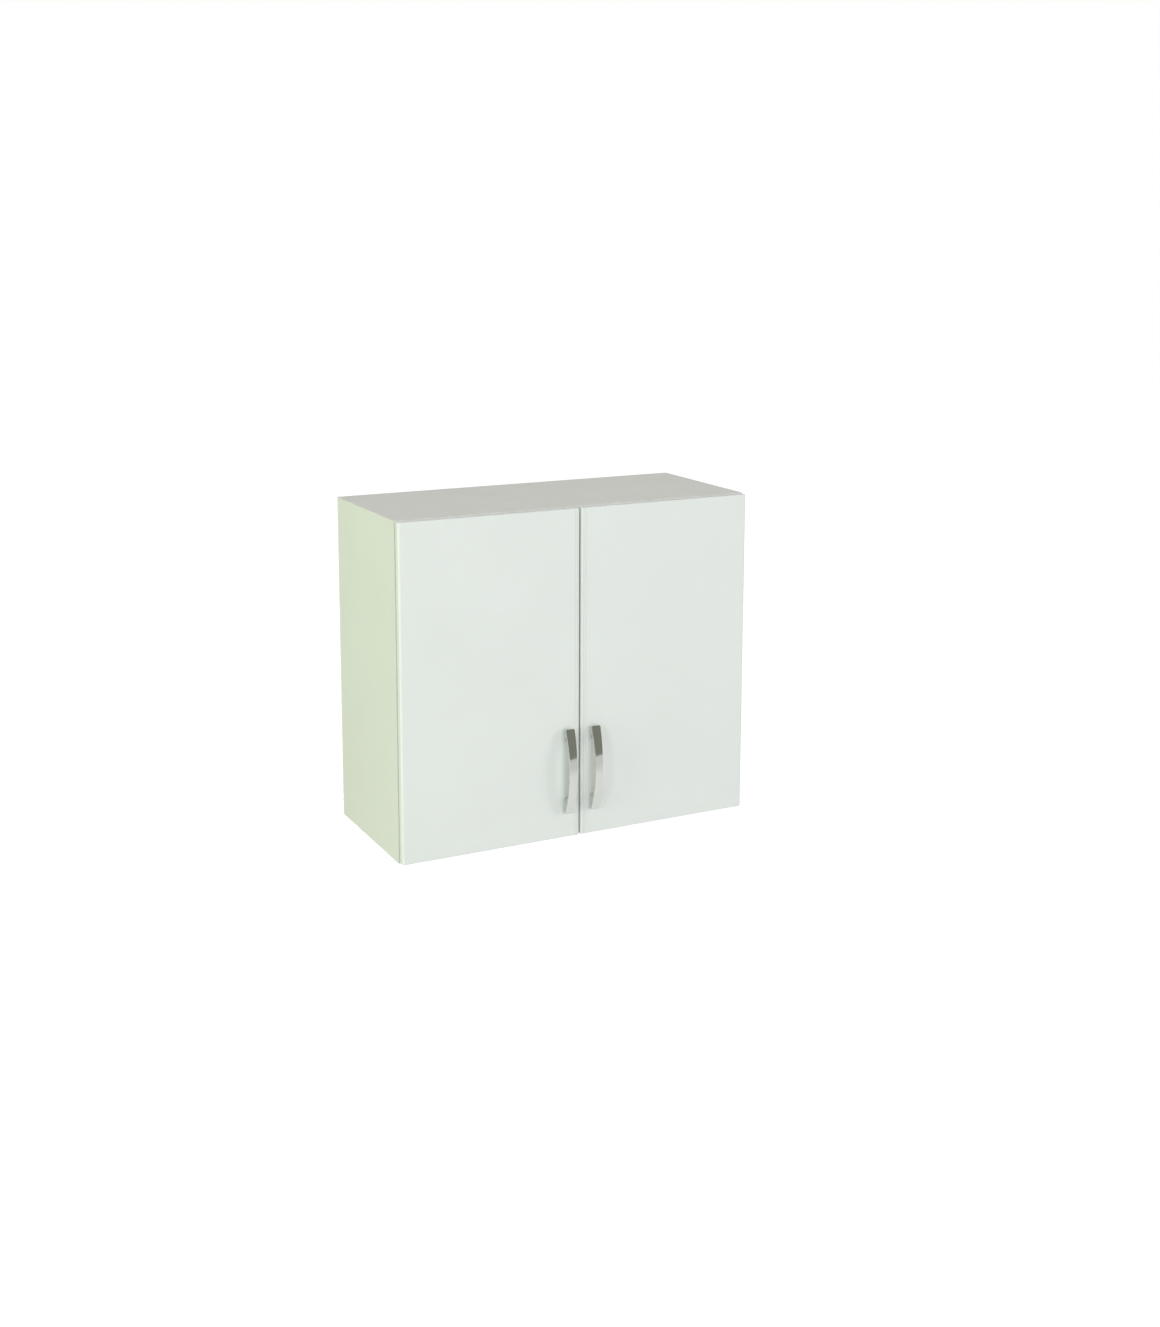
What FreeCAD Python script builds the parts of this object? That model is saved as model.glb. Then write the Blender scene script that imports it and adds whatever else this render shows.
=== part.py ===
import FreeCAD
import Part
import math
import os

Vector = FreeCAD.Vector

# A two-door wall cabinet, 800 x 700 x 348 mm, in millimetres.
# X runs across the cabinet, Y is depth (0 is the wall, the doors face -Y), Z is up.
# The origin is the centre of the rectangle of wall-plate fixing holes.

# ---- carcass ----
WIDTH = 800.0
HEIGHT = 700.0
DEPTH = 330.0
BOARD = 16.0
BAND = 0.8
FIXING_BELOW_TOP = 75.0
TOP_Z = FIXING_BELOW_TOP
BOTTOM_Z = TOP_Z - HEIGHT
HALF = WIDTH / 2
INNER = HALF - BOARD
FRONT_Y = -DEPTH
BOARD_FRONT_Y = FRONT_Y + BAND

# ---- back panel ----
BACK_THICK = 3.0
GROOVE_WIDTH = 3.2
GROOVE_DEPTH = 8.0
BACK_REAR_Y = -18.0
BACK_PLAY = 0.5

# ---- shelf ----
SHELF_DEPTH = 280.0
SHELF_GAP = 1.0
SHELF_REAR_Y = -24.0
SHELF_BOTTOM_Z = (TOP_Z + BOTTOM_Z) / 2 - BOARD / 2
SHELF_HOLE_R = 2.5
SHELF_HOLE_DEPTH = 10.0
SHELF_HOLE_PITCH = 32.0
SHELF_HOLES = 7
SHELF_HOLE_SETBACK = 37.0
SHELF_HOLE_REAR_SETBACK = 45.0
SUPPORT_PLATE = 1.5
SUPPORT_REACH = 8.0
SUPPORT_OVERLAP = 0.3
SUPPORT_HALF_WIDTH = 4.0
SUPPORT_COLLAR = 1.0
SUPPORT_COLLAR_RIM = 0.8

# ---- doors ----
REVEAL = 1.5
DOOR_GAP = 2.0
DOOR_THICK = 16.0
DOOR_W = HALF - 2 * REVEAL
DOOR_H = HEIGHT - 2 * REVEAL
DOOR_BACK_Y = FRONT_Y - DOOR_GAP
DOOR_FRONT_Y = DOOR_BACK_Y - DOOR_THICK
DOOR_FRONT_ROUND = 5.0
DOOR_BACK_ROUND = 1.5
DOOR_END_ROUND = 1.0

# ---- corner fittings between the sides and the top and bottom ----
DOWEL_R = 4.0
DOWEL_LENGTH = 30.0
DOWEL_IN_SIDE = 10.0
DOWEL_ROWS = (-60.0, -278.0)
CAM_R = 7.5
CAM_DEPTH = 12.5
CAM_FROM_END = 34.0
CAM_ROWS = (-92.0, -246.0)
CAM_BOLT_R = 3.0
CAM_BOLT_IN_SIDE = 11.0
CAM_COVER_R = 8.5
CAM_COVER_THICK = 1.0
CAM_COVER_PLUG = (1.0, 2.0)
CAM_BORE_PLAY = 1.2
CAM_INSET = 0.2
CAM_SLOT_PLAY = 0.3
CAM_SOCKET = (3.4, 2.1)
CAM_CROSS_HALF = (4.0, 0.8)
CAM_CROSS_DEPTH = 1.6
CAM_BOLT_COLLAR = 2.0
CAM_BOLT_HEAD = 3.0
CAM_BOLT_NECK = 4.0

# ---- wall plates and hangers ----
PLATE_CENTRE_X = 350.0
PLATE_WIDTH = 60.0
PLATE_THICK = 2.0
PLATE_BOTTOM_Z = -22.0
PLATE_STEP_Z = 20.0
PLATE_LIP_TOP_Z = 33.9
PLATE_LIP_Y = -7.0
FIXING_R = 3.25
FIXING_PITCH_Z = 25.0
HOUSING = (20.0, 58.0, 50.0)
HOUSING_REAR_Y = -22.0
HOUSING_BOTTOM_Z = 7.0
HOOK_THICK = 3.0
HOOK_Z = (34.0, 50.0)
HOOK_TIP_Y = -2.5
HOOK_TOOTH_Z = 25.0
HOOK_TOOTH = 4.0
HOOK_FROM_SIDE = 10.0
SPIGOT_R = 5.0
SPIGOT_LENGTH = 10.0
SPIGOT_UP = (9.0, 41.0)
HOUSING_ROUND = 3.0
HOUSING_WALL = 8.0
HOOK_PLAY_X = 0.3
HOOK_PLAY_Z = 0.5
HOOK_CHAMFER = 4.0
NOTCH_BESIDE_HOOK = 5.0
HOUSING_SCREW_R = 1.75
HOUSING_SCREW_HEAD_R = 3.5
HOUSING_SCREW_HEAD = 2.0
HOUSING_SCREW_SUNK = 2.5
HOUSING_SCREW_SEAT_R = 3.6
HOUSING_SCREW_IN_SIDE = 10.0
HOUSING_SCREW_BORE = 12.0
HOUSING_SCREW_UP = 8.0
HOUSING_SCREW_BACK = (8.0, 47.0)
ADJUST_R = 3.0
ADJUST_LENGTH = 9.0
ADJUST_BORE = 14.0
ADJUST_HEAD_R = 4.5
ADJUST_HEAD = 2.0
ADJUST_PROUD = 3.0
ADJUST_LOWER_UP = 18.0

# ---- bow handles ----
HANDLE_LENGTH = 180.0
HANDLE_HOLES = 128.0
HANDLE_X = 30.0
HANDLE_FROM_BOTTOM = 146.0
HANDLE_END_OUT = 14.0
HANDLE_MID_OUT = 31.0
HANDLE_THICK = 5.0
HANDLE_END_WIDTH = 21.0
HANDLE_WAIST = 18.0
HANDLE_POST_R = 4.75
HANDLE_EDGE_ROUND = 1.5
M4_R = 2.0
M4_HEAD_R = 4.0
M4_HEAD = 2.2
M4_INTO_POST = 12.0
M4_HEAD_ROUND = 1.2
M4_CLEARANCE = 0.4
HANDLE_CORNER = 2.0
HANDLE_FOOT = 1.2
HANDLE_FOOT_RIM = 0.8
NEAR = 0.02

# ---- soft dots on the doors ----
DOT_X = 20.0
DOT_R = 4.0
DOT_THICK = 1.6
DOT_ROUND = 0.8

# ---- concealed hinges, seen along the door's edge ----
# U is the distance in from the cabinet's outer side, V the distance behind the carcass front,
# and W the height above the hinge's own centre line.
HINGE_FROM_END = 100.0
OPENING_DEG = 95.0
OUTER_SHARE = -0.32
INNER_SHARE = -0.05
PIN_R = 1.25
PIN_PLAY = 0.06
ARM_PIN_OUTER = (32.2, 5.9)
ARM_PIN_INNER = (31.3, 14.6)
CUP_PIN_OUTER = (12.0, -4.5)
CUP_PIN_INNER = (11.6, -10.7)
CUP_R = 17.5
CUP_DEPTH = 13.0
CUP_U = REVEAL + 4.5 + CUP_R
CUP_FLANGE = 1.2
CUP_FLOOR_V = -13.9
POCKET_U = (8.5, 38.5)
POCKET_W = 6.2
CUP_SCREW_U = CUP_U + 6.0
CUP_SCREW_W = 24.0
CUP_SCREW_R = 1.75
CUP_SCREW_LENGTH = 11.0
CUP_SCREW_HEAD_R = (3.2, 2.6)
CUP_SCREW_HEAD = 0.5
CUP_EAR_R = 6.0
CUP_RIM = 1.5
CUP_SHELL_PLAY = 0.2
CUP_PIN_END = 8.2
CUP_PIN_START = 3.6
CUP_PIN_BORE = 8.5
TRACK_STEPS = 40
OUTER_CHEEK = (4.2, 5.4)
OUTER_HALF_WIDTH = 2.0
OUTER_BEND = ((15.0, -6.9), (18.4, -8.2), (22.0, -7.6), (25.6, -5.2), (28.6, -1.2))
SLEEVE_R = 2.4
OUTER_EYE_CUP_R = 2.6
OUTER_EYE_ARM_R = 3.2
INNER_EYE_R = 2.5
INNER_EYE_WALL = 1.5
LINK_BORE = 7.0
INNER_HALF_THICK = 3.0
INNER_HALF_WIDTH = 1.6
INNER_BEND = ((17.0, -11.5), (22.5, -11.5), (26.3, -9.2), (28.2, -5.0), (27.0, 1.0), (25.8, 8.0),
              (27.4, 12.8))
ARM_CHEEK = (6.5, 8.0)
ARM_WEB = 1.2
ARM_REAR_V = 66.0
ARM_LOW_U = 26.0
NOSE_TOP_U = 38.6
NOSE_START = ((28.4, 4.6), (30.2, 2.6), (35.4, 2.3), (38.0, 3.6), (NOSE_TOP_U, 6.0))
NOSE_REAR_V = 21.0
CRANK_REAR_V = 31.0
RAIL_HALF_W = 6.2
RAIL_TOP_U = 29.6
RAIL_PLAY = 0.2
RAIL_V = (25.0, 64.0)
WING_THICK = 1.8
WING_V = 37.0
WING_SCREW_W = 16.0
ARM_SCREW_V = 53.0
ARM_ADJUST_V = 36.0
ARM_PIN_END = 8.6
ARM_PIN_BORE = 9.0
ARM_HOLE_R = 2.6
ARM_HOLE_FROM_U = 28.0
ARM_HOLE_LENGTH = 5.0
ARM_FOLD = 4.0
ARM_SCREW_HEAD = 1.8
ARM_SCREW_HEAD_R = 4.2
ARM_SCREW_LENGTH = 8.0
ARM_SHIFT_PROUD = 0.6
RAIL_BORE = 12.0
RAIL_BORE_BELOW = 9.0
WING_HALF = 9.0
WING_HOLE_PLAY = 0.1
WING_SCREW_LENGTH = 12.0
WING_SCREW_HEAD_R = (4.4, 3.2)
WING_SCREW_HEAD = 1.8

# ---- cross recesses: half length and half width of one bar ----
SMALL_CROSS = (2.0, 0.5)
SCREW_CROSS = (2.0, 0.45)
LARGE_CROSS = (3.0, 0.6)
SMALL_CROSS_DEPTH = 0.9
LARGE_CROSS_DEPTH = 1.2
SCREW_CROSS_DEPTH = 1.1

SKIN = 0.05


def box(x0, x1, y0, y1, z0, z1):
    """A block between two opposite corners, given in any order."""
    corner = Vector(min(x0, x1), min(y0, y1), min(z0, z1))
    return Part.makeBox(abs(x1 - x0), abs(y1 - y0), abs(z1 - z0), corner)


def rod(centre, axis, length, radius):
    """A cylinder from a centre point along an axis."""
    return Part.makeCylinder(radius, length, Vector(*centre), Vector(*axis))


def joined(shapes):
    """One solid out of several that touch."""
    first = shapes[0]
    if len(shapes) > 1:
        first = first.multiFuse(shapes[1:])
    return first.removeSplitter()


def without(shape, tools):
    """A solid with several others cut out of it."""
    return shape.cut(tools).removeSplitter()


def mirrored(shape):
    """The same piece for the other side of the cabinet."""
    return shape.mirror(Vector(0, 0, 0), Vector(1, 0, 0))


def save(name, shape):
    """Write one sub-part, a single solid or a group of like pieces."""
    shape.exportStep("parts/" + name + ".step")


def save_group(name, shapes):
    """Write several separate like pieces as one sub-part."""
    save(name, Part.makeCompound(shapes))


def save_pair(name, shape):
    """Write a left piece and its mirror image on the right."""
    save(name + "_left", shape)
    save(name + "_right", mirrored(shape))


def prism(points, axis, low, high):
    """A polygon pushed along x, y or z; its points lie in the other two, in alphabetical order."""
    place = {
        "x": lambda a, b: Vector(low, a, b),
        "y": lambda a, b: Vector(a, low, b),
        "z": lambda a, b: Vector(a, b, low),
    }[axis]
    push = {"x": Vector(1, 0, 0), "y": Vector(0, 1, 0), "z": Vector(0, 0, 1)}[axis]
    corners = [place(a, b) for a, b in points]
    face = Part.Face(Part.makePolygon(corners + corners[:1]))
    return face.extrude(push * (high - low))


# ---- carcass boards ----

def support_pin_z():
    """Centre height of the pins under the shelf; each pin runs a little into its tab."""
    return SHELF_BOTTOM_Z - SUPPORT_PLATE - SHELF_HOLE_R + SUPPORT_OVERLAP


def shelf_hole_heights():
    """Heights of the shelf-pin holes, with the middle one under the shelf."""
    middle = support_pin_z()
    first = -(SHELF_HOLES - 1) / 2
    return [middle + (first + i) * SHELF_HOLE_PITCH for i in range(SHELF_HOLES)]


def shelf_hole_rows():
    """The front and rear rows of shelf-pin holes."""
    return (FRONT_Y + SHELF_HOLE_SETBACK, SHELF_REAR_Y - SHELF_HOLE_REAR_SETBACK)


def hinge_heights():
    """Centre heights of the upper and lower hinge of each door."""
    return {
        "upper": TOP_Z - REVEAL - HINGE_FROM_END,
        "lower": BOTTOM_Z + REVEAL + HINGE_FROM_END,
    }


def corner_heights():
    """Mid-heights of the bottom and top panels."""
    return (BOTTOM_Z + BOARD / 2, TOP_Z - BOARD / 2)


def side_panel():
    """The left side, bored for shelf pins, corner fittings, hinges and the hanger."""
    panel = box(-HALF, -INNER, BOARD_FRONT_Y, 0, BOTTOM_Z, TOP_Z)
    reach = BOARD - GROOVE_DEPTH
    cuts = [box(-INNER - GROOVE_DEPTH, -INNER + 1, BACK_REAR_Y - GROOVE_WIDTH, BACK_REAR_Y,
                BOTTOM_Z + reach, TOP_Z - reach)]
    for y in shelf_hole_rows():
        for z in shelf_hole_heights():
            cuts.append(rod((-INNER, y, z), (-1, 0, 0), SHELF_HOLE_DEPTH + 1, SHELF_HOLE_R))
    for z in corner_heights():
        for y in DOWEL_ROWS:
            cuts.append(rod((-INNER, y, z), (-1, 0, 0), DOWEL_IN_SIDE + 1, DOWEL_R + SKIN))
        for y in CAM_ROWS:
            cuts.append(rod((-INNER, y, z), (-1, 0, 0), CAM_BOLT_IN_SIDE + 1, CAM_BOLT_R + SKIN))
    for z in hinge_heights().values():
        for side in (-1, 1):
            start = (-INNER, FRONT_Y + WING_V, z + side * WING_SCREW_W)
            cuts.append(rod(start, (-1, 0, 0), WING_SCREW_LENGTH, SHELF_HOLE_R))
    for y, z in spigot_places():
        cuts.append(rod((-INNER, y, z), (-1, 0, 0), SPIGOT_LENGTH + 1, SPIGOT_R + SKIN))
    for y, z in housing_screw_places():
        cuts.append(rod((-INNER, y, z), (-1, 0, 0), HOUSING_SCREW_BORE, HOUSING_SCREW_R + SKIN))
    return without(panel, cuts)


def cross_panel(low_z, inner_face):
    """The top or bottom board; inner_face is +1 where its inner face is on top."""
    high_z = low_z + BOARD
    panel = box(-INNER, INNER, BOARD_FRONT_Y, 0, low_z, high_z)
    face_z = high_z if inner_face > 0 else low_z
    cuts = [box(-INNER - 1, INNER + 1, BACK_REAR_Y - GROOVE_WIDTH, BACK_REAR_Y,
                face_z + inner_face, face_z - inner_face * GROOVE_DEPTH)]
    middle = low_z + BOARD / 2
    for side in (-1, 1):
        inward = (-side, 0, 0)
        end = side * (INNER + 1)
        for y in DOWEL_ROWS:
            length = DOWEL_LENGTH - DOWEL_IN_SIDE + 2
            cuts.append(rod((end, y, middle), inward, length, DOWEL_R + SKIN))
        for y in CAM_ROWS:
            cuts.append(rod((end, y, middle), inward, CAM_FROM_END + 1, CAM_BOLT_R + 0.5))
            centre = (side * (INNER - CAM_FROM_END), y, face_z + inner_face)
            cuts.append(rod(centre, (0, 0, -inner_face), CAM_DEPTH + CAM_BORE_PLAY, CAM_R + SKIN))
    return without(panel, cuts)


def edge_bands():
    """Thin strips over the front edges of the five boards."""
    y0, y1 = FRONT_Y, BOARD_FRONT_Y
    save_pair("edge_band_side", box(-HALF, -INNER, y0, y1, BOTTOM_Z, TOP_Z))
    save("edge_band_top", box(-INNER, INNER, y0, y1, TOP_Z - BOARD, TOP_Z))
    save("edge_band_bottom", box(-INNER, INNER, y0, y1, BOTTOM_Z, BOTTOM_Z + BOARD))
    shelf_x = INNER - SHELF_GAP
    shelf_front = SHELF_REAR_Y - SHELF_DEPTH
    save("edge_band_shelf", box(-shelf_x, shelf_x, shelf_front, shelf_front + BAND,
                                SHELF_BOTTOM_Z, SHELF_BOTTOM_Z + BOARD))


def back_panel():
    """Thin board slid into the grooves, cut away at the top corners for the hanger hooks."""
    half_x = INNER + GROOVE_DEPTH - BACK_PLAY
    low = BOTTOM_Z + BOARD - GROOVE_DEPTH + BACK_PLAY
    high = TOP_Z - BOARD + GROOVE_DEPTH - BACK_PLAY
    y1 = BACK_REAR_Y - (GROOVE_WIDTH - BACK_THICK) / 2
    panel = box(-half_x, half_x, y1 - BACK_THICK, y1, low, high)
    notch_x = INNER - HOOK_FROM_SIDE - HOOK_THICK - NOTCH_BESIDE_HOOK
    notches = []
    for side in (-1, 1):
        notches.append(box(side * notch_x, side * (half_x + 1), y1 - BACK_THICK - 1, y1 + 1,
                           HOOK_TOOTH_Z, high + 1))
    return without(panel, notches)


def shelf_board():
    """The loose shelf, behind its edge band."""
    shelf_x = INNER - SHELF_GAP
    front = SHELF_REAR_Y - SHELF_DEPTH + BAND
    return box(-shelf_x, shelf_x, front, SHELF_REAR_Y, SHELF_BOTTOM_Z, SHELF_BOTTOM_Z + BOARD)


def shelf_supports():
    """Four pins with a flat tab that carries the shelf."""
    supports = []
    pin_r = SHELF_HOLE_R - SKIN
    pin_z = support_pin_z()
    for side in (-1, 1):
        for y in shelf_hole_rows():
            pin = rod((side * (INNER + SHELF_HOLE_DEPTH), y, pin_z), (-side, 0, 0),
                      SHELF_HOLE_DEPTH + SUPPORT_REACH, pin_r)
            collar = rod((side * INNER, y, pin_z), (-side, 0, 0), SUPPORT_COLLAR,
                         pin_r + SUPPORT_COLLAR_RIM)
            tab = box(side * INNER, side * (INNER - SUPPORT_REACH),
                      y - SUPPORT_HALF_WIDTH, y + SUPPORT_HALF_WIDTH,
                      SHELF_BOTTOM_Z - SUPPORT_PLATE, SHELF_BOTTOM_Z)
            supports.append(joined([pin, collar, tab]))
    return supports


def corner_fittings():
    """Dowels, cams, cam bolts and cover caps at the four corner joints."""
    dowels, cams, bolts, covers = [], [], [], []
    for middle, inner_face in zip(corner_heights(), (1, -1)):
        face_z = middle + inner_face * BOARD / 2
        for side in (-1, 1):
            inward = (-side, 0, 0)
            for y in DOWEL_ROWS:
                start = side * (INNER + DOWEL_IN_SIDE)
                dowels.append(rod((start, y, middle), inward, DOWEL_LENGTH, DOWEL_R))
            for y in CAM_ROWS:
                bolts.append(cam_bolt(side, y, middle))
                cams.append(cam(side, y, middle, face_z, inner_face))
                centre = (side * (INNER - CAM_FROM_END), y, face_z)
                disc = rod(centre, (0, 0, inner_face), CAM_COVER_THICK, CAM_COVER_R)
                plug = rod(centre, (0, 0, -inner_face), *CAM_COVER_PLUG)
                covers.append(joined([disc, plug]))
    save_group("wood_dowels", dowels)
    save_group("cam_locks", cams)
    save_group("cam_bolts", bolts)
    save_group("cam_covers", covers)


def cam_bolt(side, y, z):
    """A bolt screwed into the side, with a collar and a head for the cam to grip."""
    inward = (-side, 0, 0)
    shank = rod((side * (INNER + CAM_BOLT_IN_SIDE), y, z), inward,
                CAM_BOLT_IN_SIDE + CAM_FROM_END - CAM_BOLT_NECK, CAM_BOLT_R - 0.5)
    thread = rod((side * (INNER + CAM_BOLT_IN_SIDE), y, z), inward, CAM_BOLT_IN_SIDE - 1, CAM_BOLT_R)
    collar = rod((side * (INNER + 1), y, z), inward, CAM_BOLT_COLLAR, CAM_BOLT_R)
    head = rod((side * (INNER - CAM_FROM_END + CAM_BOLT_NECK + 1), y, z), inward,
               CAM_BOLT_HEAD, CAM_BOLT_R)
    return joined([shank, thread, collar, head])


def cam(side, y, z, face_z, inner_face):
    """A round cam with a slot for the bolt and a cross recess in its face."""
    x = side * (INNER - CAM_FROM_END)
    body = rod((x, y, face_z - inner_face * CAM_INSET), (0, 0, -inner_face), CAM_DEPTH, CAM_R)
    slot = rod((x - side * (CAM_BOLT_R + 1), y, z), (side, 0, 0), 2 * CAM_R,
               CAM_BOLT_R + CAM_SLOT_PLAY)
    socket = rod((x, y, face_z + inner_face), (0, 0, -inner_face), *CAM_SOCKET)
    cross = []
    for half_x, half_y in (CAM_CROSS_HALF, CAM_CROSS_HALF[::-1]):
        cross.append(box(x - half_x, x + half_x, y - half_y, y + half_y,
                         face_z + inner_face, face_z - inner_face * CAM_CROSS_DEPTH))
    return without(body, [slot, socket] + cross)


# ---- hangers and wall plates ----

def spigot_places():
    """Where the hanger housing plugs into the side."""
    mid_y = HOUSING_REAR_Y - HOUSING[1] / 2
    return [(mid_y, HOUSING_BOTTOM_Z + up) for up in SPIGOT_UP]


def housing_screw_places():
    """Where the hanger housing is screwed to the side."""
    return [(HOUSING_REAR_Y - back, HOUSING_BOTTOM_Z + HOUSING_SCREW_UP) for back in HOUSING_SCREW_BACK]


def hook_x():
    """Inner and outer faces of the left hook."""
    return (-INNER + HOOK_FROM_SIDE, -INNER + HOOK_FROM_SIDE + HOOK_THICK)


def hanger_housing():
    """Plastic box in the top rear corner that holds the hook and its screws."""
    width, depth, height = HOUSING
    low = HOUSING_BOTTOM_Z
    body = box(-INNER, -INNER + width, HOUSING_REAR_Y - depth, HOUSING_REAR_Y, low, low + height)
    rounded = [edge for edge in body.Edges
               if edge.BoundBox.XMin > -INNER + 1 and edge.BoundBox.XLength < 0.1]
    body = body.makeFillet(HOUSING_ROUND, rounded)
    x0, x1 = hook_x()
    cuts = [box(x0 - HOOK_PLAY_X, x1 + HOOK_PLAY_X, HOUSING_REAR_Y - depth + HOUSING_WALL, 1,
                HOOK_Z[0] - HOOK_PLAY_Z, HOOK_Z[1] + HOOK_PLAY_Z)]
    for z in adjust_screw_heights():
        start = ((x0 + x1) / 2, HOUSING_REAR_Y - depth - 1, z)
        cuts.append(rod(start, (0, 1, 0), ADJUST_BORE, ADJUST_R + SKIN))
    for y, z in housing_screw_places():
        cuts.append(rod((-INNER - 1, y, z), (1, 0, 0), width + 2, HOUSING_SCREW_R + SKIN))
        seat = -INNER + width - HOUSING_SCREW_SUNK
        cuts.append(rod((seat, y, z), (1, 0, 0), HOUSING_SCREW_SUNK + 1, HOUSING_SCREW_SEAT_R))
    spigots = [rod((-INNER + 0.5, y, z), (-1, 0, 0), SPIGOT_LENGTH + 0.5, SPIGOT_R)
               for y, z in spigot_places()]
    return joined([without(body, cuts)] + spigots)


def adjust_screw_heights():
    """Heights of the depth screw and the height screw in the housing's front."""
    return (HOUSING_BOTTOM_Z + ADJUST_LOWER_UP, (HOOK_Z[0] + HOOK_Z[1]) / 2)


def hanger_hook():
    """Steel strip that reaches through the back and drops behind the wall plate's lip."""
    x0, x1 = hook_x()
    inner_end = HOUSING_REAR_Y - HOUSING[1] + HOUSING_WALL + 2
    outline = [
        (inner_end, HOOK_Z[0]),
        (HOOK_TIP_Y - HOOK_TOOTH, HOOK_Z[0]),
        (HOOK_TIP_Y - HOOK_TOOTH, HOOK_TOOTH_Z),
        (HOOK_TIP_Y, HOOK_TOOTH_Z),
        (HOOK_TIP_Y, HOOK_Z[1] - HOOK_CHAMFER),
        (HOOK_TIP_Y - HOOK_CHAMFER, HOOK_Z[1]),
        (inner_end, HOOK_Z[1]),
    ]
    return prism(outline, "x", x0, x1)


def adjust_screw(z):
    """A flat-headed setting screw with a cross recess."""
    x = sum(hook_x()) / 2
    front = HOUSING_REAR_Y - HOUSING[1]
    shank = rod((x, front - 1, z), (0, 1, 0), ADJUST_LENGTH, ADJUST_R)
    head = rod((x, front - ADJUST_PROUD, z), (0, 1, 0), ADJUST_HEAD, ADJUST_HEAD_R)
    top = front - ADJUST_PROUD
    cross = [box(x - a, x + a, top - 1, top + LARGE_CROSS_DEPTH, z - b, z + b)
             for a, b in (LARGE_CROSS, LARGE_CROSS[::-1])]
    return without(joined([shank, head]), cross)


def housing_screw(y, z):
    """A countersunk wood screw through the housing into the side."""
    face = -INNER + HOUSING[0]
    seat = face - HOUSING_SCREW_SUNK
    tip = -INNER - HOUSING_SCREW_IN_SIDE
    shank = rod((tip, y, z), (1, 0, 0), seat - tip, HOUSING_SCREW_R)
    cone = Part.makeCone(HOUSING_SCREW_R, HOUSING_SCREW_HEAD_R, HOUSING_SCREW_HEAD,
                         Vector(seat, y, z), Vector(1, 0, 0))
    low = seat + HOUSING_SCREW_HEAD - SCREW_CROSS_DEPTH
    cross = [box(low, face, y - a, y + a, z - b, z + b) for a, b in (SCREW_CROSS, SCREW_CROSS[::-1])]
    return without(joined([shank, cone]), cross)


def wall_plate():
    """Steel plate screwed to the wall, stepped forward at its top into a lip for the hook."""
    t = PLATE_THICK
    outline = [
        (0, PLATE_BOTTOM_Z),
        (0, PLATE_STEP_Z),
        (PLATE_LIP_Y, PLATE_STEP_Z + 5),
        (PLATE_LIP_Y, PLATE_LIP_TOP_Z),
        (PLATE_LIP_Y - t, PLATE_LIP_TOP_Z),
        (PLATE_LIP_Y - t, PLATE_STEP_Z + 4),
        (-t, PLATE_STEP_Z - 1.4),
        (-t, PLATE_BOTTOM_Z),
    ]
    x0 = -PLATE_CENTRE_X - PLATE_WIDTH / 2
    plate = prism(outline, "x", x0, x0 + PLATE_WIDTH)
    holes = [rod((-PLATE_CENTRE_X, 1, side * FIXING_PITCH_Z / 2), (0, -1, 0), t + 2, FIXING_R)
             for side in (-1, 1)]
    return without(plate, holes)


# ---- doors and handles ----

def door_outline():
    """The left door seen from above, with round front and back edges, from its lower left corner."""
    x0 = -HALF + REVEAL
    x1 = x0 + DOOR_W
    y0, y1 = DOOR_FRONT_Y, DOOR_BACK_Y
    f, b = DOOR_FRONT_ROUND, DOOR_BACK_ROUND
    s = math.sqrt(0.5)

    def arc(start, centre, radius, direction, end):
        mid = (centre[0] + direction[0] * radius * s, centre[1] + direction[1] * radius * s)
        return Part.Arc(Vector(*start, 0), Vector(*mid, 0), Vector(*end, 0)).toShape()

    def line(start, end):
        return Part.makeLine(Vector(*start, 0), Vector(*end, 0))

    return Part.Wire([
        line((x0 + f, y0), (x1 - f, y0)),
        arc((x1 - f, y0), (x1 - f, y0 + f), f, (1, -1), (x1, y0 + f)),
        line((x1, y0 + f), (x1, y1 - b)),
        arc((x1, y1 - b), (x1 - b, y1 - b), b, (1, 1), (x1 - b, y1)),
        line((x1 - b, y1), (x0 + b, y1)),
        arc((x0 + b, y1), (x0 + b, y1 - b), b, (-1, 1), (x0, y1 - b)),
        line((x0, y1 - b), (x0, y0 + f)),
        arc((x0, y0 + f), (x0 + f, y0 + f), f, (-1, -1), (x0 + f, y0)),
    ])


def left_door():
    """The left door with its cup bores, screw pilots and handle holes."""
    low = BOTTOM_Z + REVEAL
    slab = Part.Face(door_outline()).extrude(Vector(0, 0, DOOR_H))
    slab.translate(Vector(0, 0, low))
    ends = [edge for edge in slab.Edges if edge.BoundBox.ZLength < 0.01]
    slab = slab.makeFillet(DOOR_END_ROUND, ends)
    cuts = []
    for z in hinge_heights().values():
        cuts.append(rod((-HALF + CUP_U, DOOR_BACK_Y + 1, z), (0, -1, 0), CUP_DEPTH + 1, CUP_R))
        for side in (-1, 1):
            start = (-HALF + CUP_SCREW_U, DOOR_BACK_Y + 1, z + side * CUP_SCREW_W)
            cuts.append(rod(start, (0, -1, 0), CUP_SCREW_LENGTH + 2, CUP_SCREW_R + SKIN))
    for z in handle_hole_heights():
        cuts.append(rod((-HANDLE_X, DOOR_BACK_Y + 1, z), (0, -1, 0), DOOR_THICK + 2,
                        M4_R + M4_CLEARANCE))
    return without(slab, cuts)


def handle_z():
    """Centre height of the handles."""
    return BOTTOM_Z + REVEAL + HANDLE_FROM_BOTTOM


def handle_hole_heights():
    """Heights of the two screws of a handle."""
    return (handle_z() - HANDLE_HOLES / 2, handle_z() + HANDLE_HOLES / 2)


def bow_radius():
    """Radius of the handle's outer face, from its length and rise."""
    rise = HANDLE_MID_OUT - HANDLE_END_OUT
    return ((HANDLE_LENGTH / 2) ** 2 + rise ** 2) / (2 * rise)


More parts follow.
